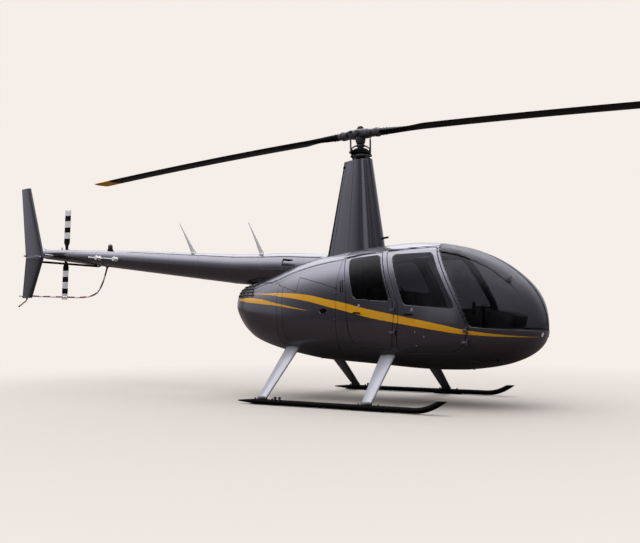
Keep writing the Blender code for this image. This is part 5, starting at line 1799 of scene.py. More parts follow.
def make_tail_tubes():
    fin_side = FIN_Y + FIN_HALF + 0.0128
    path = bent(
        (
            (GUARD_X, 0.0, boom_under(GUARD_X) - 0.002), (-4.40, -0.01, 1.56), (-4.49, -0.015, 1.40),
            (-4.62, -0.03, 1.33), (-4.82, -0.05, 1.312), (-5.52, fin_side + 0.02, 1.340),
            (-5.70, fin_side, 1.350), (-6.0385, fin_side, 1.358)
        ),
        0.12, 10
    )
    parts = pieces_along(path, ((0.13, 0), (0.085, 1), (0.12, 0), (0.10, 1)), 0.0123)
    piece("guard_tube", parts, [DARK_RED, ENAMEL_PAINT], ROOT, "tail_guard", slot="red_paint", smooth=60)
    mount = [block((-5.86, fin_side - 0.022, 1.336), (-5.80, fin_side + 0.010, 1.372))]
    for z in (1.342, 1.366):
        mount.extend(bolt((-5.83, fin_side + 0.010, z), (0, 1, 0), 0.005, 0.004))
    piece("guard_mount", mount, ALLOY, ROOT, bevel=0.002)
    skid = bent(
        ((-5.82, FIN_Y, 1.3195), (-5.82, FIN_Y, 1.29), (-5.88, FIN_Y, 1.255), (-6.01, FIN_Y, 1.19)), 0.05, 8
    )
    parts = [tube(skid, 0.0088, 14), rod((-5.82, FIN_Y, 1.300), (-5.82, FIN_Y, 1.3198), 0.0135, 18)]
    end = Vector((-6.01, FIN_Y, 1.19))
    lean = Vector((-0.13, 0, -0.065)).normalized()
    parts.append(spun(end, lean, ((-0.02, 0.0125), (-0.002, 0.0135), (0.0015, 0.009)), 20, 1))
    piece("tail_skid_rod", parts, [BLACK, RUBBER], ROOT, "tail_skid", slot="dark_steel", smooth=50)
    brace_y = FIN_Y + FIN_HALF + 0.0174
    z, radius = boom_at(-4.50)
    rod_path = [(-4.50, -0.03, z - radius - 0.008), (-5.46, brace_y, 1.872), (-5.62, brace_y, 1.885)]
    parts = [tube(bent(rod_path, 0.10, 8), 0.0165, 16)]
    parts.append(rod(
        (-4.478, -0.028, z - radius - 0.008), (-4.525, -0.032, z - radius - 0.0045), 0.0165, 20, 1
    ))
    parts.append(block((-4.50, -0.05, z - radius - 0.012), (-4.46, -0.01, z - radius + 0.012), mark=1))
    parts.append(block((-5.64, brace_y - 0.014, 1.868), (-5.60, brace_y + 0.012, 1.902), mark=1))
    piece("brace_tube", parts, [BLACK, ALLOY], ROOT, "brace_rod", slot="black_paint", smooth=50)


def make_antennas():
    for side in (RIGHT, LEFT):
        y = side * 0.190
        ends = ((-4.53, y, 1.905), (-3.98, y, 1.850))
        parts = [tube(spaced_points(ends, 12), 0.0085, 18)]
        parts.extend(ball(end, 0.0115, 0, 1.1, 18, (1, 0, 0)) for end in ends)
        for x, z in ((-4.371, 1.889), (-4.005, 1.853)):
            _, radius = boom_at(x)
            profile = (
                (radius - 0.012, 0.036), (radius + 0.004, 0.034), (radius + 0.008, 0.020), (0.168, 0.016),
                (0.172, 0.030), (0.176, 0.033), (0.196, 0.033), (0.202, 0.029), (0.203, 0.010)
            )
            parts.append(lathe((0, side, 0), [((x, side * out, z), size) for out, size in profile], 32))
        piece(
            f"nav_bar_{side_word(side)}", parts, ENAMEL_PAINT, ROOT, f"nav_antenna_{side_word(side)}",
            slot="white_paint", smooth=45
        )
    for word, (x, z), (tip_x, tip_z) in (
        ("rear", (-2.65, 1.90), (-2.90, 2.31)), ("front", (-1.47, 1.80), (-1.69, 2.23))
    ):
        lean = Vector((tip_x - x, 0, tip_z - z)).normalized()
        base = Vector((x, 0, z))
        tip = Vector((tip_x, 0, tip_z))
        low = base - lean * 0.035
        blade = []
        for k in range(13):
            t = k / 12
            centre = low.lerp(tip, t)
            width = 0.034 * (1 - t) ** 1.6 + 0.0055
            thick = 0.3 * width + 0.0018
            blade.append([
                centre + lean.cross(LEFTWARD) * width * math.cos(a) + LEFTWARD * thick * math.sin(a)
                for a in full_turn(16)
            ])
        parts = [loft(blade), ball(tip, 0.0062, 0, 1.0, 12)]
        _, radius = boom_at(x)
        top = boom_at(x)[0] + radius
        outline = [Vector((x + 0.005 + 0.060 * math.cos(a), 0.032 * math.sin(a), 0)) for a in full_turn(28)]
        rings = []
        for scale, lift in ((1.0, -0.010), (1.0, 0.0025), (0.92, 0.005), (0.5, 0.010)):
            rings.append([
                Vector((
                    x + (p.x - x) * scale, p.y * scale,
                    top + lift - 0.5 * (p.y * scale) ** 2 / radius + (p.x - x) * scale * -0.105,
                ))
                for p in outline
            ])
        parts.append(loft(rings))
        piece(
            f"whip_{word}", parts, ANTENNA_GREY, ROOT, f"whip_antenna_{word}", slot="black_paint", smooth=45
        )
    top = boom_over(BEACON_X)
    parts = [
        spun(
            (BEACON_X, 0, 0), UP,
            (
                (top - 0.012, 0.046), (top + 0.006, 0.046), (top + 0.012, 0.040), (2.015, 0.0385),
                (2.018, 0.0398), (2.026, 0.0398)
            ),
            36
        ),
        spun(
            (BEACON_X, 0, 0), UP,
            ((2.026, 0.036), (2.060, 0.036), (2.082, 0.033), (2.097, 0.024), (2.1045, 0.010)), 36, mark=1
        )
    ]
    piece("beacon_lamp", parts, [BLACK, BEACON_RED], ROOT, "beacon", slot="black_paint", smooth=45)
    top = boom_over(DRAIN_X)
    knob = [spun((DRAIN_X, 0, 0), UP, ((top - 0.004, 0.016), (top + 0.012, 0.012), (top + 0.040, 0.007)), 20)]
    piece("boom_drain_knob", knob, ALLOY, ROOT)


def spaced_points(path, per):
    made = []
    for one, two in zip(path, path[1:]):
        one = Vector(one)
        two = Vector(two)
        made.extend(one.lerp(two, k / per) for k in range(per))
    return [*made, Vector(path[-1])]


# Landing gear


SKID_Y = 1.09
SKID_MIDDLE = 0.008 + 0.030 - 0.004
SKID_RADIUS = 0.0297
SKID_RISE_X = 1.15
SKID_END_X = 1.445
SKID_RISE = 1.17
SKID_CUT_Z = 0.136
LEG_FOOT_CHORD = 0.120
LEG_TOP_CHORD = 0.205
LEG_KNEE_Z = 0.086
LEG_TOP_Z = 0.70
LEG_LEAN = 1.227
LEG_THICKNESS = 0.0475
# Faces turned inwards past this share get the painted shade
PAINTED_SHADE_FACING = -0.25


def skid_rings(y):
    """A skid: a pointed heel, a straight run and a toe that curves up to a level cut."""
    across = (0, 1, 0)
    rings = []
    for x, radius in (
        (-1.019, 0.003), (-1.017, 0.006), (-0.99, 0.0095), (-0.88, 0.0195), (-0.80, 0.0265), (-0.765, 0.0290),
        (-0.73, SKID_RADIUS), *((x, SKID_RADIUS) for x in np.arange(-0.5, 1.15, 0.3))
    ):
        rings.append(circle((x, y, SKID_MIDDLE), across, UP, radius, 32))
    for k in range(15):
        x = SKID_RISE_X + (SKID_END_X - SKID_RISE_X) * k / 14
        slope = 2 * SKID_RISE * (x - SKID_RISE_X)
        up = Vector((-slope, 0, 1)).normalized()
        rings.append(circle(
            (x, y, SKID_MIDDLE + SKID_RISE * (x - SKID_RISE_X) ** 2), across, up, SKID_RADIUS, 32
        ))
    ahead = Vector((1, 0, slope)).normalized()
    for k in range(1, 5):
        rings[-k] = [
            p + ahead * min(0.0, (SKID_CUT_Z - 0.0004 * k - p[2]) / ahead.z) for p in map(Vector, rings[-k])
        ]
    rings.append([p + ahead * ((SKID_CUT_Z - p[2]) / ahead.z) for p in map(Vector, rings[-1])])
    return rings


def make_gear():
    for side in (RIGHT, LEFT):
        word = side_word(side)
        y = side * SKID_Y
        parts = [loft(skid_rings(y))]
        dark = []
        for x in (-0.676, 0.629):
            outline = [
                (x - 0.18, 0.0), (x + 0.18, 0.0), (x + 0.18, 0.003), (x + 0.165, 0.008), (x - 0.165, 0.008),
                (x - 0.18, 0.003)
            ]
            dark.append(side_slab(outline, y - 0.0198, y + 0.0198, 1))
            for shift in (-0.10, 0.13):
                dark.append(rod(
                    (x + shift, y, SKID_MIDDLE + 0.024), (x + shift, y, SKID_MIDDLE + 0.036), 0.010, 18, 1
                ))
                dark.append(hexagon(
                    (x + shift, y, SKID_MIDDLE + 0.034), (x + shift, y, SKID_MIDDLE + 0.042), 0.0095, mark=1
                ))
        for x in (-0.50, -0.445):
            dark.append(block(
                (x - 0.008, y - 0.024, SKID_MIDDLE + 0.020), (x + 0.008, y + 0.004, SKID_MIDDLE + 0.062),
                mark=1
            ))
            dark.append(rod(
                (x, y - 0.028, SKID_MIDDLE + 0.050), (x, y + 0.010, SKID_MIDDLE + 0.050), 0.0065, 16, 1
            ))
        piece(
            f"skid_tube_{word}", parts + dark, [BLACK, DARK_METAL], ROOT, f"skid_{word}", slot="black_paint",
            smooth=40
        )
        for place_word, top_x, foot_x in (("aft", -0.694, -0.676), ("fore", 0.600, 0.629)):
            make_leg(place_word, word, side, top_x, foot_x)


def leg_section(side, top_x, foot_x, z, grow=1.0, fatter=1.0):
    knee = SKID_Y - 0.020
    levels = ((0.045, foot_x, SKID_Y + 0.004, LEG_FOOT_CHORD), (LEG_KNEE_Z, foot_x, knee, LEG_FOOT_CHORD),
              (LEG_TOP_Z, top_x, knee - LEG_LEAN * (LEG_TOP_Z - LEG_KNEE_Z), LEG_TOP_CHORD))
    heights, *columns = zip(*levels)
    x, out, width = (float(np.interp(z, heights, column)) for column in columns)
    ring = [(x + (0.4 * width - run) * grow, side * (out + 0.9 * rise * fatter), z + 0.4 * rise * fatter)
            for run, rise in foil(width, LEG_THICKNESS, 16)]
    return ring, x, out


def make_leg(place_word, word, side, top_x, foot_x):
    rings = []
    for z in (0.064, 0.070, 0.080, LEG_KNEE_Z, 0.092, 0.11, *np.linspace(0.14, LEG_TOP_Z, 44)):
        ring, x, out = leg_section(side, top_x, foot_x, z)
        if out < half_width_low(x, z) - 0.03:
            break
        rings.append(ring)
    leg = joined(f"leg_{place_word}_{word}", [loft(rings)], [LEG_PAINT, LEG_PAINTED_SHADE], 50)
    # The faces turned inwards get the leg paint darkened as painted shade
    for face in leg.data.polygons:
        if face.normal.y * side < PAINTED_SHADE_FACING:
            face.material_index = 1
    finish_piece(leg, ROOT, f"strut_{place_word}_{word}", slot="charcoal_paint")
    cuff = [
        leg_section(side, top_x, foot_x, z, grow, grow)[0]
        for z, grow in ((0.062, 1.04), (0.066, 1.10), (0.080, 1.09), (0.084, 1.02))
    ]
    parts = [loft(cuff)]
    piece(f"leg_saddle_{place_word}_{word}", parts, DARK_METAL, ROOT, smooth=50)


def half_width_low(x, z):
    """The body's half width, or 0 under its belly."""
    bottom = float(body_section(x)[1][0])
    return half_width(x, z) if z > bottom + 0.002 else 0.0


# Body details


FRONT_HINGE = (1.532, 0.624)
FRONT_KNUCKLES = ((0.690, 1.484), (0.815, 1.514))
REAR_HINGE = (0.732, 0.652)
REAR_KNUCKLES = ((0.790, 0.697), (1.030, 0.709))


def make_hinges(side):
    word = side_word(side)
    for place_word, (x, y), knuckles in (
        ("front", FRONT_HINGE, FRONT_KNUCKLES), ("rear", REAR_HINGE, REAR_KNUCKLES)
    ):
        fixed = []
        moving = []
        for z, edge in knuckles:
            root = half_width(x, z) - 0.010
            for low, high in ((0.0203, 0.0318), (-0.0318, -0.0203)):
                outline = [
                    (x - 0.008, side * root), (x + 0.012, side * root), (x + 0.011, side * (y - 0.002))
                ]
                outline += [
                    (x + 0.0105 * math.cos(a), side * (y + 0.0100 * math.sin(a)))
                    for a in (0.3, 0.8, 1.3, 1.85, 2.35, 2.85)
                ]
                outline.append((x - 0.009, side * (y - 0.004)))
                fixed.append(slab(outline if side > 0 else outline[::-1], z + low, z + high))
            fixed.append(rod((x, side * y, z + 0.0310), (x, side * y, z + 0.0345), 0.0065, 16, 1))
            moving.append(rod((x, side * y, z - 0.0197), (x, side * y, z + 0.0197), 0.0097, 24))
            arm_root = edge - 0.030
            outline = [
                (arm_root, half_width(arm_root, z) - 0.012), (edge - 0.002, half_width(edge, z) + 0.004),
                (x - 0.001, y - 0.0082), (x - 0.001, y + 0.0082), (arm_root, half_width(arm_root, z) + 0.008)
            ]
            moving.append(slab(
                [(a, side * b) for a, b in (outline if side > 0 else outline[::-1])], z - 0.0140, z + 0.0140
            ))
            for shift in (-0.007, 0.007):
                spot, normal = skin_point(arm_root + 0.006, z + shift, side, 0.0085)
                moving.extend(bolt(spot, normal, 0.0032, 0.0022, 1))
        piece(f"{place_word}_hinge_lugs_{word}", fixed, [CHARCOAL, STEEL], ROOT, bevel=0.001)
        piece(
            f"{place_word}_hinge_arms_{word}", moving, [CHARCOAL, STEEL], f"door_{place_word}_{word}",
            bevel=0.001
        )


def make_door_fittings(side):
    word = side_word(side)
    front = f"door_front_{word}"
    rear = f"door_rear_{word}"
    for name, body, spot_x, spot_z in (("front", front, 0.935, 1.031), ("rear", rear, 0.30, 1.085)):
        centre, normal = skin_point(spot_x, spot_z, side, 0.0)
        parts = [
            spun(
                centre, normal, ((-0.004, 0.0165), (0.0014, 0.0165), (0.0026, 0.0145), (0.0020, 0.0115)), 28
            ),
            spun(centre, normal, ((-0.004, 0.011), (0.0030, 0.0105), (0.0036, 0.0085)), 24),
            block((-0.0012, -0.0055, 0.0), (0.0012, 0.0055, 0.001), mark=1)
        ]
        points, faces, mark = parts[2]
        axis, other = across_axes(normal)
        points = [centre + normal * (0.0036 + p[2]) + axis * p[0] + other * p[1] for p in points]
        parts[2] = (points, faces, mark)
        piece(f"{name}_door_lock_{word}", parts, [ALLOY, BLACK], body)
    for name, body, x, z, length in (
        ("front", front, 0.845, 0.985, 0.105), ("rear", rear, 0.225, 1.010, 0.095)
    ):
        line = on_skin([(x, z), (x + length, z - 0.004)], side, 0.012, 0.0)
        rows = []
        count = len(line)
        for k, (point, normal) in enumerate(line):
            t = k / (count - 1)
            fat = math.sin(math.pi * min(1.0, max(0.0, 0.06 + 0.88 * t)))
            width = 0.0105 * fat**0.4
            lift = 0.016 * min(1.0, 4 * t, 4 * (1 - t) + 0.15) + 0.002
            over = Vector((0, 0, 1)) - normal * normal.z
            over.normalize()
            rows.append([
                point + normal * (lift + 0.005 * math.sin(a)) + over * width * math.cos(a)
                for a in full_turn(14)
            ])
        parts = [loft(rows)]
        for k in (1, count - 2):
            point, normal = line[k]
            parts.append(rod(point - normal * 0.004, point + normal * 0.016, 0.0075, 18))
        piece(f"{name}_door_handle_{word}", parts, BLACK, body, smooth=60)


def window_band(name, field, side, body, width):
    """A seal just inside a window's outline."""
    ring = np.maximum(field, -(field + width))
    ring = np.maximum(ring, -SKIN[..., 1] * side)
    finish_piece(skin_panel(name, ring, -0.0006, -0.0035, RUBBER, 0.0006), body)


def make_seals(fields):
    x = SKIN[..., 0]
    y = SKIN[..., 1]
    for side in (RIGHT, LEFT):
        word = side_word(side)
        for place_word in ("front", "rear"):
            window_band(f"{place_word}_window_seal_{word}", fields[f"{place_word}_window"], side,
                        f"door_{place_word}_{word}", 0.0085)
            outline = fields[f"{place_word}_outline"]
            ring = np.maximum(outline - 0.012, -(outline + 0.010))
            ring = np.maximum(np.maximum(ring, -y * side), DOOR_INNER_Y - np.abs(y))
            seal = skin_panel(f"{place_word}_door_seal_{word}", ring, -0.0262, -0.0345, RUBBER, 0.001)
            finish_piece(seal, ROOT)
        screen = np.maximum(fields["screen"], PANE_INNER_Y - y * side)
        window_band(f"windshield_seal_{word}", screen, side, ROOT, 0.013)
    strip = np.maximum.reduce([np.abs(fields["roof_line"]) - 0.0055, 0.10 - np.abs(y), -x + 0.002])
    finish_piece(skin_panel("roof_joint_sealant", strip, 0.0009, -0.004, RUBBER, 0.0006), ROOT)


def clip_boom(spots):
    """Leaves out what lies inside the boom or its fairing."""
    made = []
    for point, normal in spots:
        z, radius = boom_at(point.x)
        if point.x > -0.5 or math.hypot(point.y, point.z - z) > radius + 0.012:
            made.append((point, normal))
    return made


def make_fasteners():
    both = (RIGHT, LEFT)
    lines = {
        "cowl_rear_row": ([(-0.785, 1.300), (-0.770, 1.10), (-0.755, 0.962), (-0.750, 0.75)], 0.050),
        "cowl_front_row": ([(-0.481, 1.415), (-0.455, 1.28), (-0.441, 1.213)], 0.022),
        "cowl_edge_row": ([(-0.676, 1.279), (-0.61, 1.262), (-0.561, 1.241)], 0.020),
        "cowl_joint_row": ([(-0.193, 1.288), (-0.05, 1.255), (0.103, 1.221)], 0.022),
        "side_cowl_foot_row": ([(-0.84, 0.680), (-0.45, 0.645), (-0.02, 0.620)], 0.105),
        "side_cowl_top_row": ([(-0.82, 1.330), (-0.60, 1.260)], 0.055),
        "side_cowl_fore_row": ([(-0.022, 1.235), (-0.020, 0.95), (-0.022, 0.64)], 0.100),
        "tail_cowl_fore_row": ([(-0.882, 1.33), (-0.880, 1.00), (-0.882, 0.69)], 0.095),
        "tail_cowl_top_row": ([(-0.93, 1.385), (-1.15, 1.392), (-1.36, 1.398)], 0.085),
        "belly_rear_row": ([(-0.84, 0.640), (-0.45, 0.605), (-0.02, 0.580)], 0.040),
        "cabin_rear_row": ([(0.020, 1.60), (0.020, 1.20), (0.020, 0.80), (0.022, 0.56)], 0.040),
        "sill_row": ([(0.06, 0.560), (0.60, 0.545), (1.20, 0.535), (1.50, 0.575)], 0.038),
    }
    for name, (outline, spacing) in lines.items():
        big = "foot" in name or "fore_row" in name or "top_row" in name
        spots = []
        for side in both:
            spots.extend((p + n * 0.0005, n) for p, n in on_skin(outline, side, spacing))
        spots = clip_boom(spots)
        quiet = name in ("belly_rear_row", "cabin_rear_row", "sill_row")
        finish = CHARCOAL if quiet else WORN_SCREW
        studs(name, spots, finish, ROOT, 0.0065 if big else 0.0034, 0.0016 if big else 0.0012)
    spots = []
    for side in both:
        spots.extend(
            (p + n * 0.0005, n) for p, n in on_skin([(x, z + 0.028) for x, z in ROOF_SEAM], side, 0.030)
        )
    studs("roof_edge_screws", spots, WORN_SCREW, ROOT, 0.0034, 0.0012)


def make_body_extras():
    for side in (RIGHT, LEFT):
        word = side_word(side)
        centre, normal = skin_point(-0.167, 1.039, side, 0.0)
        fore = Vector((1, 0, 0)) - normal * normal.x
        fore.normalize()
        over = normal.cross(fore) * (1 if side < 0 else -1)
        over = over if over.z > 0 else -over
        rings = []
        for scale, lift in ((1.25, -0.003), (1.22, 0.003), (1.05, 0.004), (0.98, 0.0015), (0.96, -0.003)):
            rings.append([
                centre + fore * 0.052 * scale * math.cos(
                    a
                ) + over * 0.030 * scale * math.sin(a) + normal * lift
                for a in full_turn(36)
            ])
        parts = [loft(rings)]
        mouth = []
        for scale, lift in ((1.0, -0.004), (1.0, 0.0012), (0.9, 0.0016)):
            mouth.append([
                centre + fore * 0.050 * scale * math.cos(
                    a
                ) + over * 0.029 * scale * math.sin(a) + normal * lift
                for a in full_turn(36)
            ])
        parts.append(loft(mouth, 1))
        piece(f"cooling_inlet_{word}", parts, [CHARCOAL, BLACK], ROOT, smooth=50)
        bars = []
        for x0, z0, x1, z1, lift in (
            (0.068, 1.382, 0.085, 1.246, 0.004), (0.040, 1.372, 0.060, 1.240, 0.003)
        ):
            bars.append(skin_cord([(x0, z0), (x1, z1)], side, 0.0045, lift - 0.002))
        piece(f"door_rear_guide_{word}", bars, BLACK, ROOT, smooth=60)
        bead = skin_cord([(-0.785, 1.318), (-0.768, 1.14), (-0.755, 0.962), (-0.748, 0.70)], side, 0.0021)
        lid = skin_cord([(-1.290, 1.402), (-1.150, 1.395), (-1.000, 1.385)], side, 0.0026)
        piece(f"cowl_panel_joint_{word}", [bead, lid], BLACK, ROOT, smooth=60)
        spots = []
        for x, z in ((0.966, 0.652), (0.966, 0.795), (1.064, 0.748)):
            spot, facing = skin_point(x, z, side, 0.0)
            spots.append((spot + facing * 0.0006, facing))
        studs(f"door_plugs_{word}", spots, ALLOY, f"door_front_{word}", 0.0085, 0.0022)
        spot, facing = skin_point(1.232, 1.492, side, 0.0)
        studs(f"pillar_plug_{word}", [(spot + facing * 0.0006, facing)], BLACK, ROOT, 0.006, 0.002)
    x, y = (-0.62, 0.33)
    spot = Vector((x, y, roof_height(x, y)))
    up = Vector((0.10, 0.42, 1.0)).normalized()
    cap = [
        spun(spot, up, ((-0.012, 0.056), (0.005, 0.055), (0.009, 0.050), (0.0095, 0.020)), 40),
        spun(spot, up, ((-0.004, 0.038), (0.016, 0.038), (0.020, 0.034), (0.021, 0.012)), 36, 1),
    ]
    piece("fuel_cap_left", cap, [CHARCOAL, ALLOY], ROOT, smooth=40)
    lamp = []
    for side in (RIGHT, LEFT):
        centre, normal = skin_point(2.166, 0.766, side, 0.0)
        lamp.append(spun(
            centre, normal, ((-0.010, 0.034), (0.0012, 0.034), (0.0030, 0.031), (0.0015, 0.028)), 40
        ))
        lamp.append(spun(
            centre, normal, ((-0.008, 0.028), (0.0012, 0.0275), (0.0028, 0.019), (0.0032, 0.006)), 36, 1
        ))
    piece("landing_lamps", lamp, [BLACK, LAMP_GLASS], ROOT, smooth=40)
    x = -1.12
    low = float(body_section(x)[1][0])
    exhaust = [tube(
        [(x, 0.10, low + 0.06), (x - 0.012, 0.102, low + 0.02), (x - 0.022, 0.104, low - 0.012)],
        [0.034, 0.034, 0.033], 28
    )]
    exhaust.append(tube([(x - 0.010, 0.102, low + 0.02), (x - 0.0222, 0.104, low - 0.0125)], 0.0285, 28, 1))
    piece("exhaust_pipe", exhaust, [DARK_METAL, BLACK], ROOT, smooth=50)
    drains = []
    for x, y in ((0.9, 0.0), (0.2, 0.12), (-0.5, -0.1), (1.4, -0.05)):
        bottom = float(body_section(x)[1][0])
        drains.append(lathe(
            (0, 0, -1),
            (
                ((x, y, bottom + 0.015), 0.010), ((x, y, bottom - 0.004), 0.008),
                ((x, y, bottom - 0.007), 0.005)
            ),
            18
        ))
    piece("belly_drains", drains, BLACK, ROOT, smooth=50)


def make_grille():
    """The screen's slats: bowed bars that follow the skin round the tail end."""
    slats = []
    for level in (1.256, 1.294, 1.332, 1.370):
        path = []
        for side in (RIGHT, LEFT):
            half = []
            x = -1.292
            while x > -1.80:
                top = float(body_section(x)[0][0])
                if top > level + 0.01:
                    y = half_width(x, level)
                    z_boom, radius = boom_at(x)
                    if math.hypot(y, level - z_boom) > radius + 0.010:
                        half.append(Vector((x, side * (y - 0.004), level)))
                x -= 0.012
            path.extend(half if side == RIGHT else half[::-1])
        gap = [k for k, (a, b) in enumerate(zip(path, path[1:])) if (b - a).length > 0.16]
        runs = [path] if not gap else [path[: gap[0] + 1], path[gap[0] + 1:]]
        for run in runs:
            if len(run) > 3:
                slats.append(tube(run, 0.0065, 10))
    uprights = []
    for x in (-1.34, -1.44, -1.54, -1.64, -1.72):
        for side in (RIGHT, LEFT):
            top = min(1.392, float(body_section(x)[0][0]) - 0.02)
            line = [Vector((x, side * (half_width(x, z) - 0.009), z)) for z in np.linspace(1.232, top, 8)]
            line = [p for p in line if math.hypot(p.y, p.z - boom_at(x)[0]) > boom_at(x)[1] + 0.006]
            if len(line) > 2:
                uprights.append(tube(line, 0.0035, 8))
    piece("grille_slats", slats, DARK_METAL, ROOT, smooth=60)
    piece("grille_wires", uprights, BLACK, ROOT, smooth=60)


# Cabin


SEAT_Y = (0.035, 0.515)
SETTLING = 20
STUFFING = {
    "uniform_pressure_force": 4.0, "quality": 4, "mass": 0.4, "tension_stiffness": 12.0,
    "compression_stiffness": 12.0, "shear_stiffness": 6.0, "bending_stiffness": 0.4,
}
BELT_OUTER = 0.455
BELT_INNER = 0.075
BELT_WIDTH = 0.045


def pad(name, outline, low, high, cap):
    """A cushion: the outline seen from the side, swollen by pressure out of a smaller shape."""
    inset = grown(outline, -0.012)
    obj = joined(name, [side_slab(inset, low + 0.012, high - 0.012)], LEATHER, 180, 0.018, 0, 3)
    remesh = obj.modifiers.new("even faces", "REMESH")
    remesh.mode = "VOXEL"
    remesh.voxel_size = 0.0105
    apply_modifiers(obj)
    count = len(obj.data.vertices)
    before = np.empty(count * 3)
    obj.data.vertices.foreach_get("co", before)
    before = before.reshape(-1, 3)
    after = before.copy()
    cloth = obj.modifiers.new("stuffing", "CLOTH")
    cloth.settings.use_pressure = True
    cloth.settings.effector_weights.gravity = 0.0
    for name_of, value in STUFFING.items():
        setattr(cloth.settings, name_of, value)
    cloth.collision_settings.use_collision = False
    cloth.point_cache.frame_start = 1
    cloth.point_cache.frame_end = SETTLING
    scene = bpy.context.scene
    for step in range(1, SETTLING + 1):
        scene.frame_set(step)
    graph = bpy.context.evaluated_depsgraph_get()
    swollen = obj.evaluated_get(graph).to_mesh()
    found = np.empty(count * 3)
    swollen.vertices.foreach_get("co", found)
    after = found.reshape(-1, 3)
    obj.evaluated_get(graph).to_mesh_clear()
    obj.modifiers.clear()
    scene.frame_set(1)
    move = after - before
    size = np.linalg.norm(move, axis=1)
    move *= np.minimum(1.0, cap / np.maximum(size, 1e-9))[:, None]
    points = before + move
    xs, zs = zip(*outline)
    for column, (least, most) in enumerate(((min(xs), max(xs)), (low, high), (min(zs), max(zs)))):
        points[:, column] = np.clip(points[:, column], least + 0.001, most - 0.001)
    obj.data.vertices.foreach_set("co", points.ravel())
    obj.data.update()
    smooth = obj.modifiers.new("smooth", "SUBSURF")
    smooth.levels = 1
    smooth.render_levels = 1
    apply_modifiers(obj)
    return obj


def sew(obj, across, lines, depth=0.006, width=0.006, limit=None):
    """Presses sewn channels into a cushion: lines are places along the axis called across."""
    count = len(obj.data.vertices)
    points = np.empty(count * 3)
    normals = np.empty(count * 3)
    obj.data.vertices.foreach_get("co", points)
    obj.data.vertices.foreach_get("normal", normals)
    points = points.reshape(-1, 3)
    normals = normals.reshape(-1, 3)
    press = np.zeros(count)
    for place_at in lines:
        press = np.maximum(press, np.exp(-(((points[:, across] - place_at) / width) ** 2)))
    if limit is not None:
        press *= limit(points)
    points -= normals * (press * depth)[:, None]
    obj.data.vertices.foreach_set("co", points.ravel())
    obj.data.update()
    return obj


def mirrored(obj, name):
    mesh = obj.data.copy()
    mesh.name = name
    mesh.transform(Matrix.Scale(-1, 4, (0, 1, 0)))
    mesh.flip_normals()
    copy = bpy.data.objects.new(name, mesh)
    bpy.context.scene.collection.objects.link(copy)
    return copy


def soft_range(values, start, end, fade=0.02):
    return np.clip((values - start) / fade, 0, 1) * np.clip((end - values) / fade, 0, 1)


def make_seats():
    low, high = SEAT_Y
    middle = (low + high) / 2
    shapes = {
        "front": (
            ((0.735, 0.7415), (1.200, 0.7415), (1.210, 0.838), (0.82, 0.842), (0.75, 0.80)),
            ((0.700, 0.800), (0.745, 0.835), (0.775, 0.93), (0.700, 1.275), (0.585, 1.283), (0.640, 0.90))
        ),
        "rear": (
            ((0.095, 0.7415), (0.529, 0.7415), (0.540, 0.849), (0.15, 0.852), (0.10, 0.82)),
            ((0.006, 0.7415), (0.090, 0.7415), (0.150, 0.86), (0.100, 1.338), (0.006, 1.338))
        )
    }
    for row, (seat, back) in shapes.items():
        cushion = pad(f"{row}_cushion_left", seat, low, high, 0.013)
        span = (low + 0.16, high - 0.16)
        sew(cushion, 1, (*span, low + 0.065, high - 0.065), limit=lambda p: soft_range(p[:, 2], 0.80, 0.90))
        front_edge = max(x for x, _ in seat) - 0.10
        sew(cushion, 0, (front_edge,), 0.005, limit=lambda p: soft_range(p[:, 2], 0.80, 0.90))
        sew(cushion, 2, (0.792,), 0.005)
        rest = pad(f"{row}_backrest_left", back, low, high, 0.013)
        sew(rest, 1, (*span, low + 0.065, high - 0.065), limit=lambda p: soft_range(p[:, 2], 0.88, 1.40))
        sew(rest, 2, (1.16,), 0.006, limit=lambda p: soft_range(p[:, 1], low + 0.06, high - 0.06))
        node_name = f"{row}_seat"
        for left, part in ((cushion, "cushion"), (rest, "backrest")):
            right = mirrored(left, f"{row}_{part}_right")
            for obj, word in ((left, "left"), (right, "right")):
                obj.data.shade_smooth()
                finish_piece(
                    obj, ROOT, *((f"{node_name}_{word}",) if part == "cushion" else ()), slot="dark_leather"
                )
    for side in (RIGHT, LEFT):
        make_belts(side, side_word(side), middle)


def strap(points, across, width, thickness=0.0016):
    """A flat webbing strap along points, as wide as width along the direction across."""
    points = [Vector(p) for p in points]
    half = Vector(across).normalized() * width / 2
    rings = []
    for k, point in enumerate(points):
        tangent = (points[min(k + 1, len(points) - 1)] - points[max(k - 1, 0)]).normalized()
        normal = tangent.cross(half).normalized() * thickness
        rings.append([
            point - half + normal, point + half + normal, point + half - normal, point - half - normal
        ])
    return loft(rings)


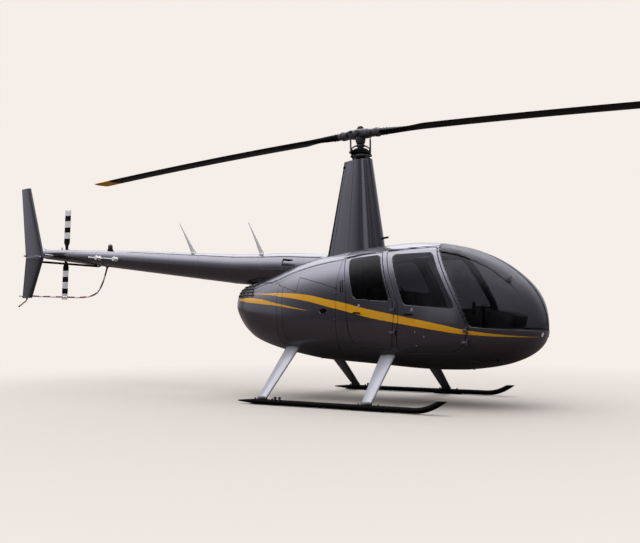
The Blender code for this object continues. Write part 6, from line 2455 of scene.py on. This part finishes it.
def make_belts(side, word, middle):
    belts = []
    metal = []
    front = ((0.700, 1.287), (0.722, 1.262), (0.745, 1.16), (0.772, 1.04), (0.795, 0.93), (0.815, 0.862))
    rear = ((0.080, 1.342), (0.118, 1.318), (0.130, 1.20), (0.142, 1.08), (0.155, 0.96), (0.180, 0.868))
    for seat_x, back in ((0.80, front), (0.165, rear)):
        path = []
        for k, (x, z) in enumerate(back):
            t = k / (len(back) - 1)
            y = BELT_OUTER - 0.02 - (BELT_OUTER - 0.02 - BELT_INNER - 0.05) * t**1.3
            path.append((x + 0.004, side * y, z))
        belts.append(strap(bent(path, 0.03, 4), (0, 1, 0.05), BELT_WIDTH))
        lap = [(seat_x + run, side * y, z) for run, y, z in (
            (-0.02, BELT_INNER - 0.012, 0.835), (0.015, BELT_INNER, 0.858), (0.055, BELT_INNER + 0.06, 0.866),
            (0.07, middle, 0.868), (0.055, BELT_OUTER - 0.02, 0.866), (0.01, BELT_OUTER + 0.045, 0.852),
        )]
        belts.append(strap(bent(lap, 0.04, 4), (1, 0, 0.1), BELT_WIDTH))
        y = side * (BELT_INNER + 0.045)
        metal.append(block((seat_x + 0.020, y - 0.022, 0.866), (seat_x + 0.080, y + 0.022, 0.880)))
        metal.append(block((seat_x + 0.030, y - 0.012, 0.879), (seat_x + 0.055, y + 0.012, 0.8835), 1))
    piece(f"seat_belts_{word}", belts, WEBBING, ROOT, smooth=60)
    piece(f"belt_buckles_{word}", metal, [STEEL, DARK_RED], ROOT, bevel=0.002)


def make_console():
    parts = []
    outline = [
        (1.604, 0.4906), (1.776, 0.4906), (1.768, 0.60), (1.772, 0.80), (1.79, 0.83), (1.655, 0.90),
        (1.612, 0.80), (1.604, 0.66)
    ]
    parts.append(side_slab(outline, -0.098, 0.098))
    head = [
        (1.602, 0.782), (1.760, 0.812), (1.898, 0.842), (1.928, 0.958), (1.86, 0.985), (1.665, 1.026),
        (1.650, 1.012)
    ]
    rings = []
    for y, shrink in (
        (-0.239, 0.018), (-0.225, 0.004), (-0.12, 0.0), (0.12, 0.0), (0.225, 0.004), (0.239, 0.018)
    ):
        rings.append([(x, y, z) for x, z in grown(head, -shrink)])
    parts.append(loft(rings))
    hood = [
        (1.640, 1.018), (1.660, 1.029), (1.86, 0.989), (1.925, 0.962), (1.925, 0.956), (1.86, 0.980),
        (1.662, 1.019)
    ]
    parts.append(side_slab(hood, -0.232, 0.232, 1))
    piece("console_body", parts, [TRIM, RUBBER], ROOT, "instrument_console", slot="cabin_trim", bevel=0.003)
    low = Vector((1.6035, 0.0, 0.790))
    high = Vector((1.6510, 0.0, 1.008))
    rise = (high - low).normalized()
    out = Vector((-rise.z, 0, rise.x))
    faces = []
    needles = []
    for row, share in ((0, 0.26), (1, 0.72)):
        for y in (-0.165, -0.055, 0.055, 0.165):
            centre = low + rise * (high - low).length * share + Vector((0, y, 0))
            faces.append(spun(
                centre, out, ((-0.004, 0.044), (0.004, 0.044), (0.0055, 0.0405), (0.002, 0.038)), 36
            ))
            faces.append(spun(centre, out, ((-0.004, 0.0385), (0.0022, 0.0382)), 36, mark=1))
            for tick in range(12):
                if tick == 6:
                    continue
                angle = 2 * math.pi * tick / 12
                d = rise * math.cos(angle) + Vector((0, 1, 0)) * math.sin(angle)
                needles.append(tube(
                    [centre + out * 0.0026 + d * 0.029, centre + out * 0.0026 + d * 0.0355], 0.0009, 5
                ))
            angle = 0.8 + 1.3 * y * 10 + row
            d = rise * math.cos(angle) + Vector((0, 1, 0)) * math.sin(angle)
            needles.append(tube(
                [centre + out * 0.003 - d * 0.008, centre + out * 0.003 + d * 0.028], [0.0016, 0.0007], 6
            ))
            needles.append(spun(centre, out, ((0.002, 0.0045), (0.0045, 0.0040)), 16))
    piece("instrument_dials", faces, [BLACK, DIAL_BLACK], ROOT)
    piece("dial_marks", needles, ENAMEL_PAINT, ROOT)
    radios = []
    knobs = []
    for z in (0.565, 0.635, 0.705):
        radios.append(block((1.596, -0.082, z), (1.612, 0.082, z + 0.058)))
        radios.append(block((1.5945, -0.045, z + 0.026), (1.598, 0.045, z + 0.050), 1))
        for y in (-0.068, 0.068):
            centre = Vector((1.596, y, z + 0.022))
            knobs.append(lathe(
                (-1, 0, 0),
                (
                    (centre, 0.0115), (centre + Vector((-0.008, 0, 0)), 0.0115),
                    (centre + Vector((-0.009, 0, 0)), 0.0075), (centre + Vector((-0.017, 0, 0)), 0.0070)
                ),
                20
            ))
        for k in range(5):
            y = -0.04 + 0.02 * k
            knobs.append(block((1.5925, y - 0.006, z + 0.008), (1.597, y + 0.006, z + 0.017)))
    piece("radio_stack", radios, [BLACK, SCREEN_GREEN], ROOT, bevel=0.001)
    piece("radio_knobs", knobs, RUBBER, ROOT, smooth=40)
    compass = [
        ball((1.795, 0.0, 1.345), 0.030, 0, 1.0, 24),
        lathe(UP, (((1.80, 0, 1.36), 0.020), ((1.815, 0, 1.398), 0.014)), 20),
        spun((0, 0, 1.345), (-1, 0, 0), ((-1.782, 0.026), (-1.763, 0.024), (-1.7615, 0.012)), 24, mark=1)
    ]
    piece("magnetic_compass", compass, [BLACK, DIAL_BLACK], ROOT, smooth=50)


def make_controls():
    parts = [
        spun(
            (1.50, 0, 0), UP,
            (
                (0.4906, 0.048), (0.498, 0.048), (0.503, 0.040), (0.53, 0.026), (0.56, 0.020), (0.80, 0.018),
                (1.030, 0.0155)
            ),
            28
        ),
        rod((1.50, -0.028, 1.06), (1.50, 0.028, 1.06), 0.022, 28),
        tube([(1.50, 0, 1.02), (1.50, 0, 1.06)], [0.0155, 0.017], 24),
        tube(
            bent(
                [
                    (1.495, -0.288, 1.035), (1.50, -0.276, 1.06), (1.50, 0, 1.062), (1.50, 0.276, 1.06),
                    (1.495, 0.288, 1.035)
                ],
                0.04
            ),
            0.0115, 20
        )
    ]
    grips = []
    for side in (RIGHT, LEFT):
        y = side * 0.290
        grips.append(tube(
            [
                (1.488, y, 0.972), (1.489, y, 0.985), (1.492, y, 1.00), (1.494, y, 1.04), (1.498, y, 1.09),
                (1.500, y, 1.112), (1.5005, y, 1.12)
            ],
            [0.013, 0.0165, 0.0155, 0.0175, 0.0165, 0.0185, 0.012], 20
        ))
        grips.append(rod((1.495, y, 1.095), (1.474, y, 1.102), 0.006, 14))
        for k in range(6):
            z = 0.995 + 0.012 * k
            grips.append(lathe(
                UP,
                (
                    ((1.4915 + 0.0009 * k, y, z), 0.0165), ((1.492 + 0.0009 * k, y, z + 0.003), 0.0186),
                    ((1.4925 + 0.0009 * k, y, z + 0.006), 0.0165)
                ),
                20
            ))
    piece("cyclic_column", parts, BLACK, ROOT, "cyclic_bar", slot="dark_steel", smooth=45)
    piece("cyclic_grips", grips, RUBBER, ROOT, smooth=45)
    pedals = []
    for side in (RIGHT, LEFT):
        for shift in (-0.085, 0.085):
            y = side * 0.235 + shift
            pedals.append(tube(
                bent([(1.755, y, 0.4915), (1.765, y, 0.56), (1.748, y, 0.625)], 0.03), 0.0085, 16
            ))
            pedals.append(block((1.734, y - 0.042, 0.600), (1.746, y + 0.042, 0.662), 1))
            for k in range(4):
                pedals.append(block(
                    (1.7315, y - 0.036, 0.608 + 0.0135 * k), (1.7345, y + 0.036, 0.614 + 0.0135 * k), 2
                ))
    piece("rudder_pedals", pedals, [BLACK, ALLOY, RUBBER], ROOT, bevel=0.001, smooth=45)
    y = -0.017
    path = [(0.79, y, 0.755), (0.86, y, 0.80), (1.06, y, 0.885), (1.17, y, 0.925)]
    levers = [
        tube(bent(path, 0.05), 0.0095, 16),
        tube([(1.10, y, 0.9000), (1.17, y, 0.925), (1.205, y, 0.938)], [0.0145, 0.0155, 0.012], 20, 1),
    ]
    piece("collective_lever", levers, [BLACK, RUBBER], ROOT, smooth=50)


def make_cabin_lining():
    """Mats on the floor, piping and rivets on the seat boxes, and the quilted firewall pad."""
    mats = []
    for side in (RIGHT, LEFT):
        mats.append(loft(mat_rings(1.175, 1.585, side, 0.02, 0.40)))
        mats.append(loft(mat_rings(0.515, 0.728, side, 0.02, 0.44)))
    piece("floor_mats", mats, CARPET, ROOT, smooth=60)
    beads = []
    spots = []
    for x, z in ((1.1615, 0.7385), (0.7385, 0.7385), (0.5015, 0.7385)):
        beads.append(tube([(x, -0.50, z), (x, 0.50, z)], 0.0045, 10))
        face = 1 if x in (1.1615, 0.5015) else -1
        for k in range(27):
            spots.append((
                Vector((x + face * 0.0002, -0.49 + 0.98 * k / 26, z - 0.018)), Vector((face, 0, 0))
            ))
            spots.append((Vector((x + face * 0.0002, -0.49 + 0.98 * k / 26, 0.512)), Vector((face, 0, 0))))
    piece("seat_box_piping", beads, RUBBER, ROOT, smooth=60)
    studs("seat_box_rivets", spots, TRIM, ROOT, 0.0036, 0.0014)
    panels = []
    for y0 in (-0.50, -0.25, 0.0, 0.25):
        for z0, z1 in ((1.36, 1.50), (1.50, 1.64)):
            if z1 > 1.6 and abs(y0 + 0.125) > 0.3:
                continue
            rows = []
            for t, lift in ((0.0, 0.0), (0.06, 0.007), (0.5, 0.011), (0.94, 0.007), (1.0, 0.0)):
                rows.append([
                    (-0.0012 + lift * min(1.0, 6 * s, 6 * (1 - s)), y0 + 0.25 * s, z0 + (z1 - z0) * t)
                    for s in np.linspace(0, 1, 9)
                ])
            rings = [row + [(-0.0012, p[1], p[2]) for p in row[::-1]] for row in rows]
            panels.append(loft(rings))
    piece("firewall_quilting", panels, TRIM, ROOT, smooth=60)


def mat_rings(x0, x1, side, y0, y1):
    ring = []
    corners = ((x0, y0), (x1, y0), (x1, y1), (x0, y1))
    for k, (x, y) in enumerate(corners):
        cx = x + 0.03 * (1 if x == x0 else -1)
        cy = y + 0.03 * (1 if y == y0 else -1)
        start = (math.pi, 1.5 * math.pi, 0.0, 0.5 * math.pi)[k]
        for n in range(6):
            angle = start + math.pi / 2 * n / 5
            ring.append((cx + 0.03 * math.cos(angle), side * (cy + 0.03 * math.sin(angle))))
    middle = ((x0 + x1) / 2, side * (y0 + y1) / 2)
    rings = []
    for z, shrink in ((0.4903, 0.0), (0.4950, 0.0), (0.4975, 0.006), (0.4978, 0.02)):
        rings.append([
            (x + (middle[0] - x) * shrink / 0.15, y + (middle[1] - y) * shrink / 0.15, z) for x, y in ring
        ])
    return rings


CREAM = (0.922, 0.855, 0.807)
FLOOR_HALF = 60.0
FLOOR_Z = -0.001
FLOOR_SHADE = (0.085, 0.070, 0.063, 1.0)
FLOOR_FADE = (2.5, 9.0)
# The studio's light by the height of a direction, from straight down at -1 to straight up at 1
SKY = (
    (-1.0, (0.04, 0.034, 0.03)), (-0.03, (0.07, 0.062, 0.058)), (0.04, (0.50, 0.50, 0.56)),
    (0.25, (0.64, 0.64, 0.72)), (0.50, (1.35, 1.35, 1.50)), (0.72, (2.9, 2.9, 3.2)), (1.0, (3.3, 3.3, 3.6))
)
# The heights of a direction between which the screens fade out
SCREEN_TOPS = (0.35, 0.95)
# How much of the light the dark screens around the studio leave, by compass angle in degrees from the nose
SCREENS = (
    (-180, 0.45), (-174, 1.0), (-146, 1.0), (-133, 0.55), (-126, 0.28), (-114, 0.25), (-110, 1.2), (-98, 1.3),
    (-94, 0.25), (-84, 0.22), (-80, 0.6), (-76, 0.22), (-60, 0.2), (-45, 0.4), (-35, 0.22), (20, 0.3),
    (60, 0.7), (90, 0.9), (140, 0.9), (180, 0.45),
)


def light_from_above(channel):
    """How strongly the studio's light falls on a level floor, in one colour channel."""
    heights = np.linspace(0, 1, 200)
    levels = np.interp(heights, [height for height, _ in SKY], [colour[channel] for _, colour in SKY])
    return float(np.mean(2 * heights * levels))


def make_stage():
    make_floor()
    make_studio()


def make_floor():
    """The pale floor: lit like the studio near the helicopter, the backdrop's colour far off."""
    floor_mesh = bpy.data.meshes.new("floor")
    corners = [(a * FLOOR_HALF, b * FLOOR_HALF, FLOOR_Z) for a, b in ((-1, -1), (1, -1), (1, 1), (-1, 1))]
    floor_mesh.from_pydata(corners, [], [[0, 1, 2, 3]])
    floor = bpy.data.objects.new("floor", floor_mesh)
    bpy.context.scene.collection.objects.link(floor)
    made, tree, shader = material("pale_floor")
    out = tree.nodes["Material Output"]
    shader.inputs["Base Color"].default_value = (*(c / light_from_above(k) for k, c in enumerate(CREAM)), 1.0)
    shader.inputs["Roughness"].default_value = 1.0
    shader.inputs["Specular IOR Level"].default_value = 0.0
    path = tree.nodes.new("ShaderNodeLightPath")
    dark = node(tree, "ShaderNodeBsdfDiffuse", Color=FLOOR_SHADE)
    even = node(tree, "ShaderNodeEmission", Color=(*CREAM, 1.0))
    vector = object_vector(tree)
    length = tree.nodes.new("ShaderNodeVectorMath")
    length.operation = "LENGTH"
    link(tree, vector, length.inputs[0])
    near, away = FLOOR_FADE
    fade = node(tree, "ShaderNodeMapRange", Value=length.outputs["Value"], From_Min=near, From_Max=away)
    fade.interpolation_type = "SMOOTHSTEP"
    far = tree.nodes.new("ShaderNodeMixShader")
    link(tree, fade.outputs[0], far.inputs[0])
    link(tree, shader.outputs[0], far.inputs[1])
    link(tree, even.outputs[0], far.inputs[2])
    seen = tree.nodes.new("ShaderNodeMixShader")
    link(tree, path.outputs["Is Camera Ray"], seen.inputs[0])
    link(tree, dark.outputs[0], seen.inputs[1])
    link(tree, far.outputs[0], seen.inputs[2])
    link(tree, seen.outputs[0], out.inputs["Surface"])
    floor_mesh.materials.append(made)


def make_studio():
    """Soft light by height and compass angle; the camera sees the plain backdrop."""
    world = bpy.data.worlds.new("studio")
    bpy.context.scene.world = world
    world.use_nodes = True
    tree = world.node_tree
    background = tree.nodes["Background"]
    coordinates = tree.nodes.new("ShaderNodeTexCoord").outputs["Generated"]
    split = node(tree, "ShaderNodeSeparateXYZ", Vector=coordinates)
    ramp = tree.nodes.new("ShaderNodeValToRGB")
    rise = node(tree, "ShaderNodeMapRange", Value=split.outputs["Z"], From_Min=-1.0)
    link(tree, rise.outputs[0], ramp.inputs["Fac"])
    around = maths(tree, "ARCTAN2", split.outputs["Y"], split.outputs["X"])
    screens = tree.nodes.new("ShaderNodeValToRGB")
    turn = node(tree, "ShaderNodeMapRange", Value=around, From_Min=-math.pi, From_Max=math.pi)
    link(tree, turn.outputs[0], screens.inputs["Fac"])
    screens.color_ramp.elements[0].color = (SCREENS[0][1],) * 3 + (1.0,)
    screens.color_ramp.elements[1].color = (SCREENS[-1][1],) * 3 + (1.0,)
    for degrees, level in SCREENS[1:-1]:
        screens.color_ramp.elements.new((degrees + 180) / 360).color = (level, level, level, 1.0)
    low, high = SCREEN_TOPS
    height = node(tree, "ShaderNodeMapRange", Value=split.outputs["Z"], From_Min=low, From_Max=high)
    screened = mixed(tree, height.outputs[0], screens.outputs["Color"], (1.0, 1.0, 1.0, 1.0))
    shaded = mixed(tree, 1.0, ramp.outputs["Color"], screened, "MULTIPLY")
    elements = ramp.color_ramp.elements
    elements[0].color = (*SKY[0][1], 1.0)
    elements[1].color = (*SKY[-1][1], 1.0)
    for height, colour in SKY[1:-1]:
        elements.new((height + 1) / 2).color = (*colour, 1.0)
    path = tree.nodes.new("ShaderNodeLightPath")
    seen = mixed(tree, path.outputs["Is Camera Ray"], shaded, (*CREAM, 1.0))
    link(tree, seen, background.inputs["Color"])


PHOTO_WIDTH_PX = 640
FOCAL_LENGTH_PX = 744.6
SENSOR_WIDTH_MM = 36.0
CAMERA_SPOT = (4.219 + SHIFT, -7.874, 0.891)
# Yaw, pitch and roll in degrees
CAMERA_TURNS = (121.40, 4.02, -0.31)


def make_camera():
    yaw, pitch, roll = map(math.radians, CAMERA_TURNS)
    ahead = Vector((math.cos(yaw) * math.cos(pitch), math.sin(yaw) * math.cos(pitch), math.sin(pitch)))
    right = Vector((math.sin(yaw), -math.cos(yaw), 0.0))
    up = right.cross(ahead)
    turned_right = right * math.cos(roll) + up * math.sin(roll)
    turned_up = -right * math.sin(roll) + up * math.cos(roll)
    data = bpy.data.cameras.new("camera")
    data.sensor_width = SENSOR_WIDTH_MM
    data.lens = FOCAL_LENGTH_PX / PHOTO_WIDTH_PX * SENSOR_WIDTH_MM
    data.dof.use_dof = False
    camera = bpy.data.objects.new("camera", data)
    bpy.context.scene.collection.objects.link(camera)
    basis = Matrix((turned_right, turned_up, -ahead)).transposed().to_4x4()
    camera.matrix_world = Matrix.Translation(CAMERA_SPOT) @ basis
    bpy.context.scene.camera = camera


def dress_nodes():
    """Finishes for the solids that stay as they are."""
    for name, finish in (("cabin_structure", TRIM), ("engine_block", ALLOY)):
        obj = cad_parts[name]
        obj.data.materials.clear()
        obj.data.materials.append(finish)


def make_all():
    make_camera()
    make_stage()
    make_body()
    make_boom()
    make_boom_fairing()
    make_pylon()
    make_swashplate()
    make_rotor_head()
    make_blades()
    make_gearbox()
    make_tail_rotor()
    make_fins()
    make_tail_tubes()
    make_antennas()
    make_gear()
    for side in (RIGHT, LEFT):
        make_hinges(side)
        make_door_fittings(side)
    make_fasteners()
    make_body_extras()
    make_grille()
    make_console()
    make_controls()
    make_cabin_lining()
    make_seats()
    dress_nodes()


make_all()
bpy.context.scene.view_settings.view_transform = "Standard"
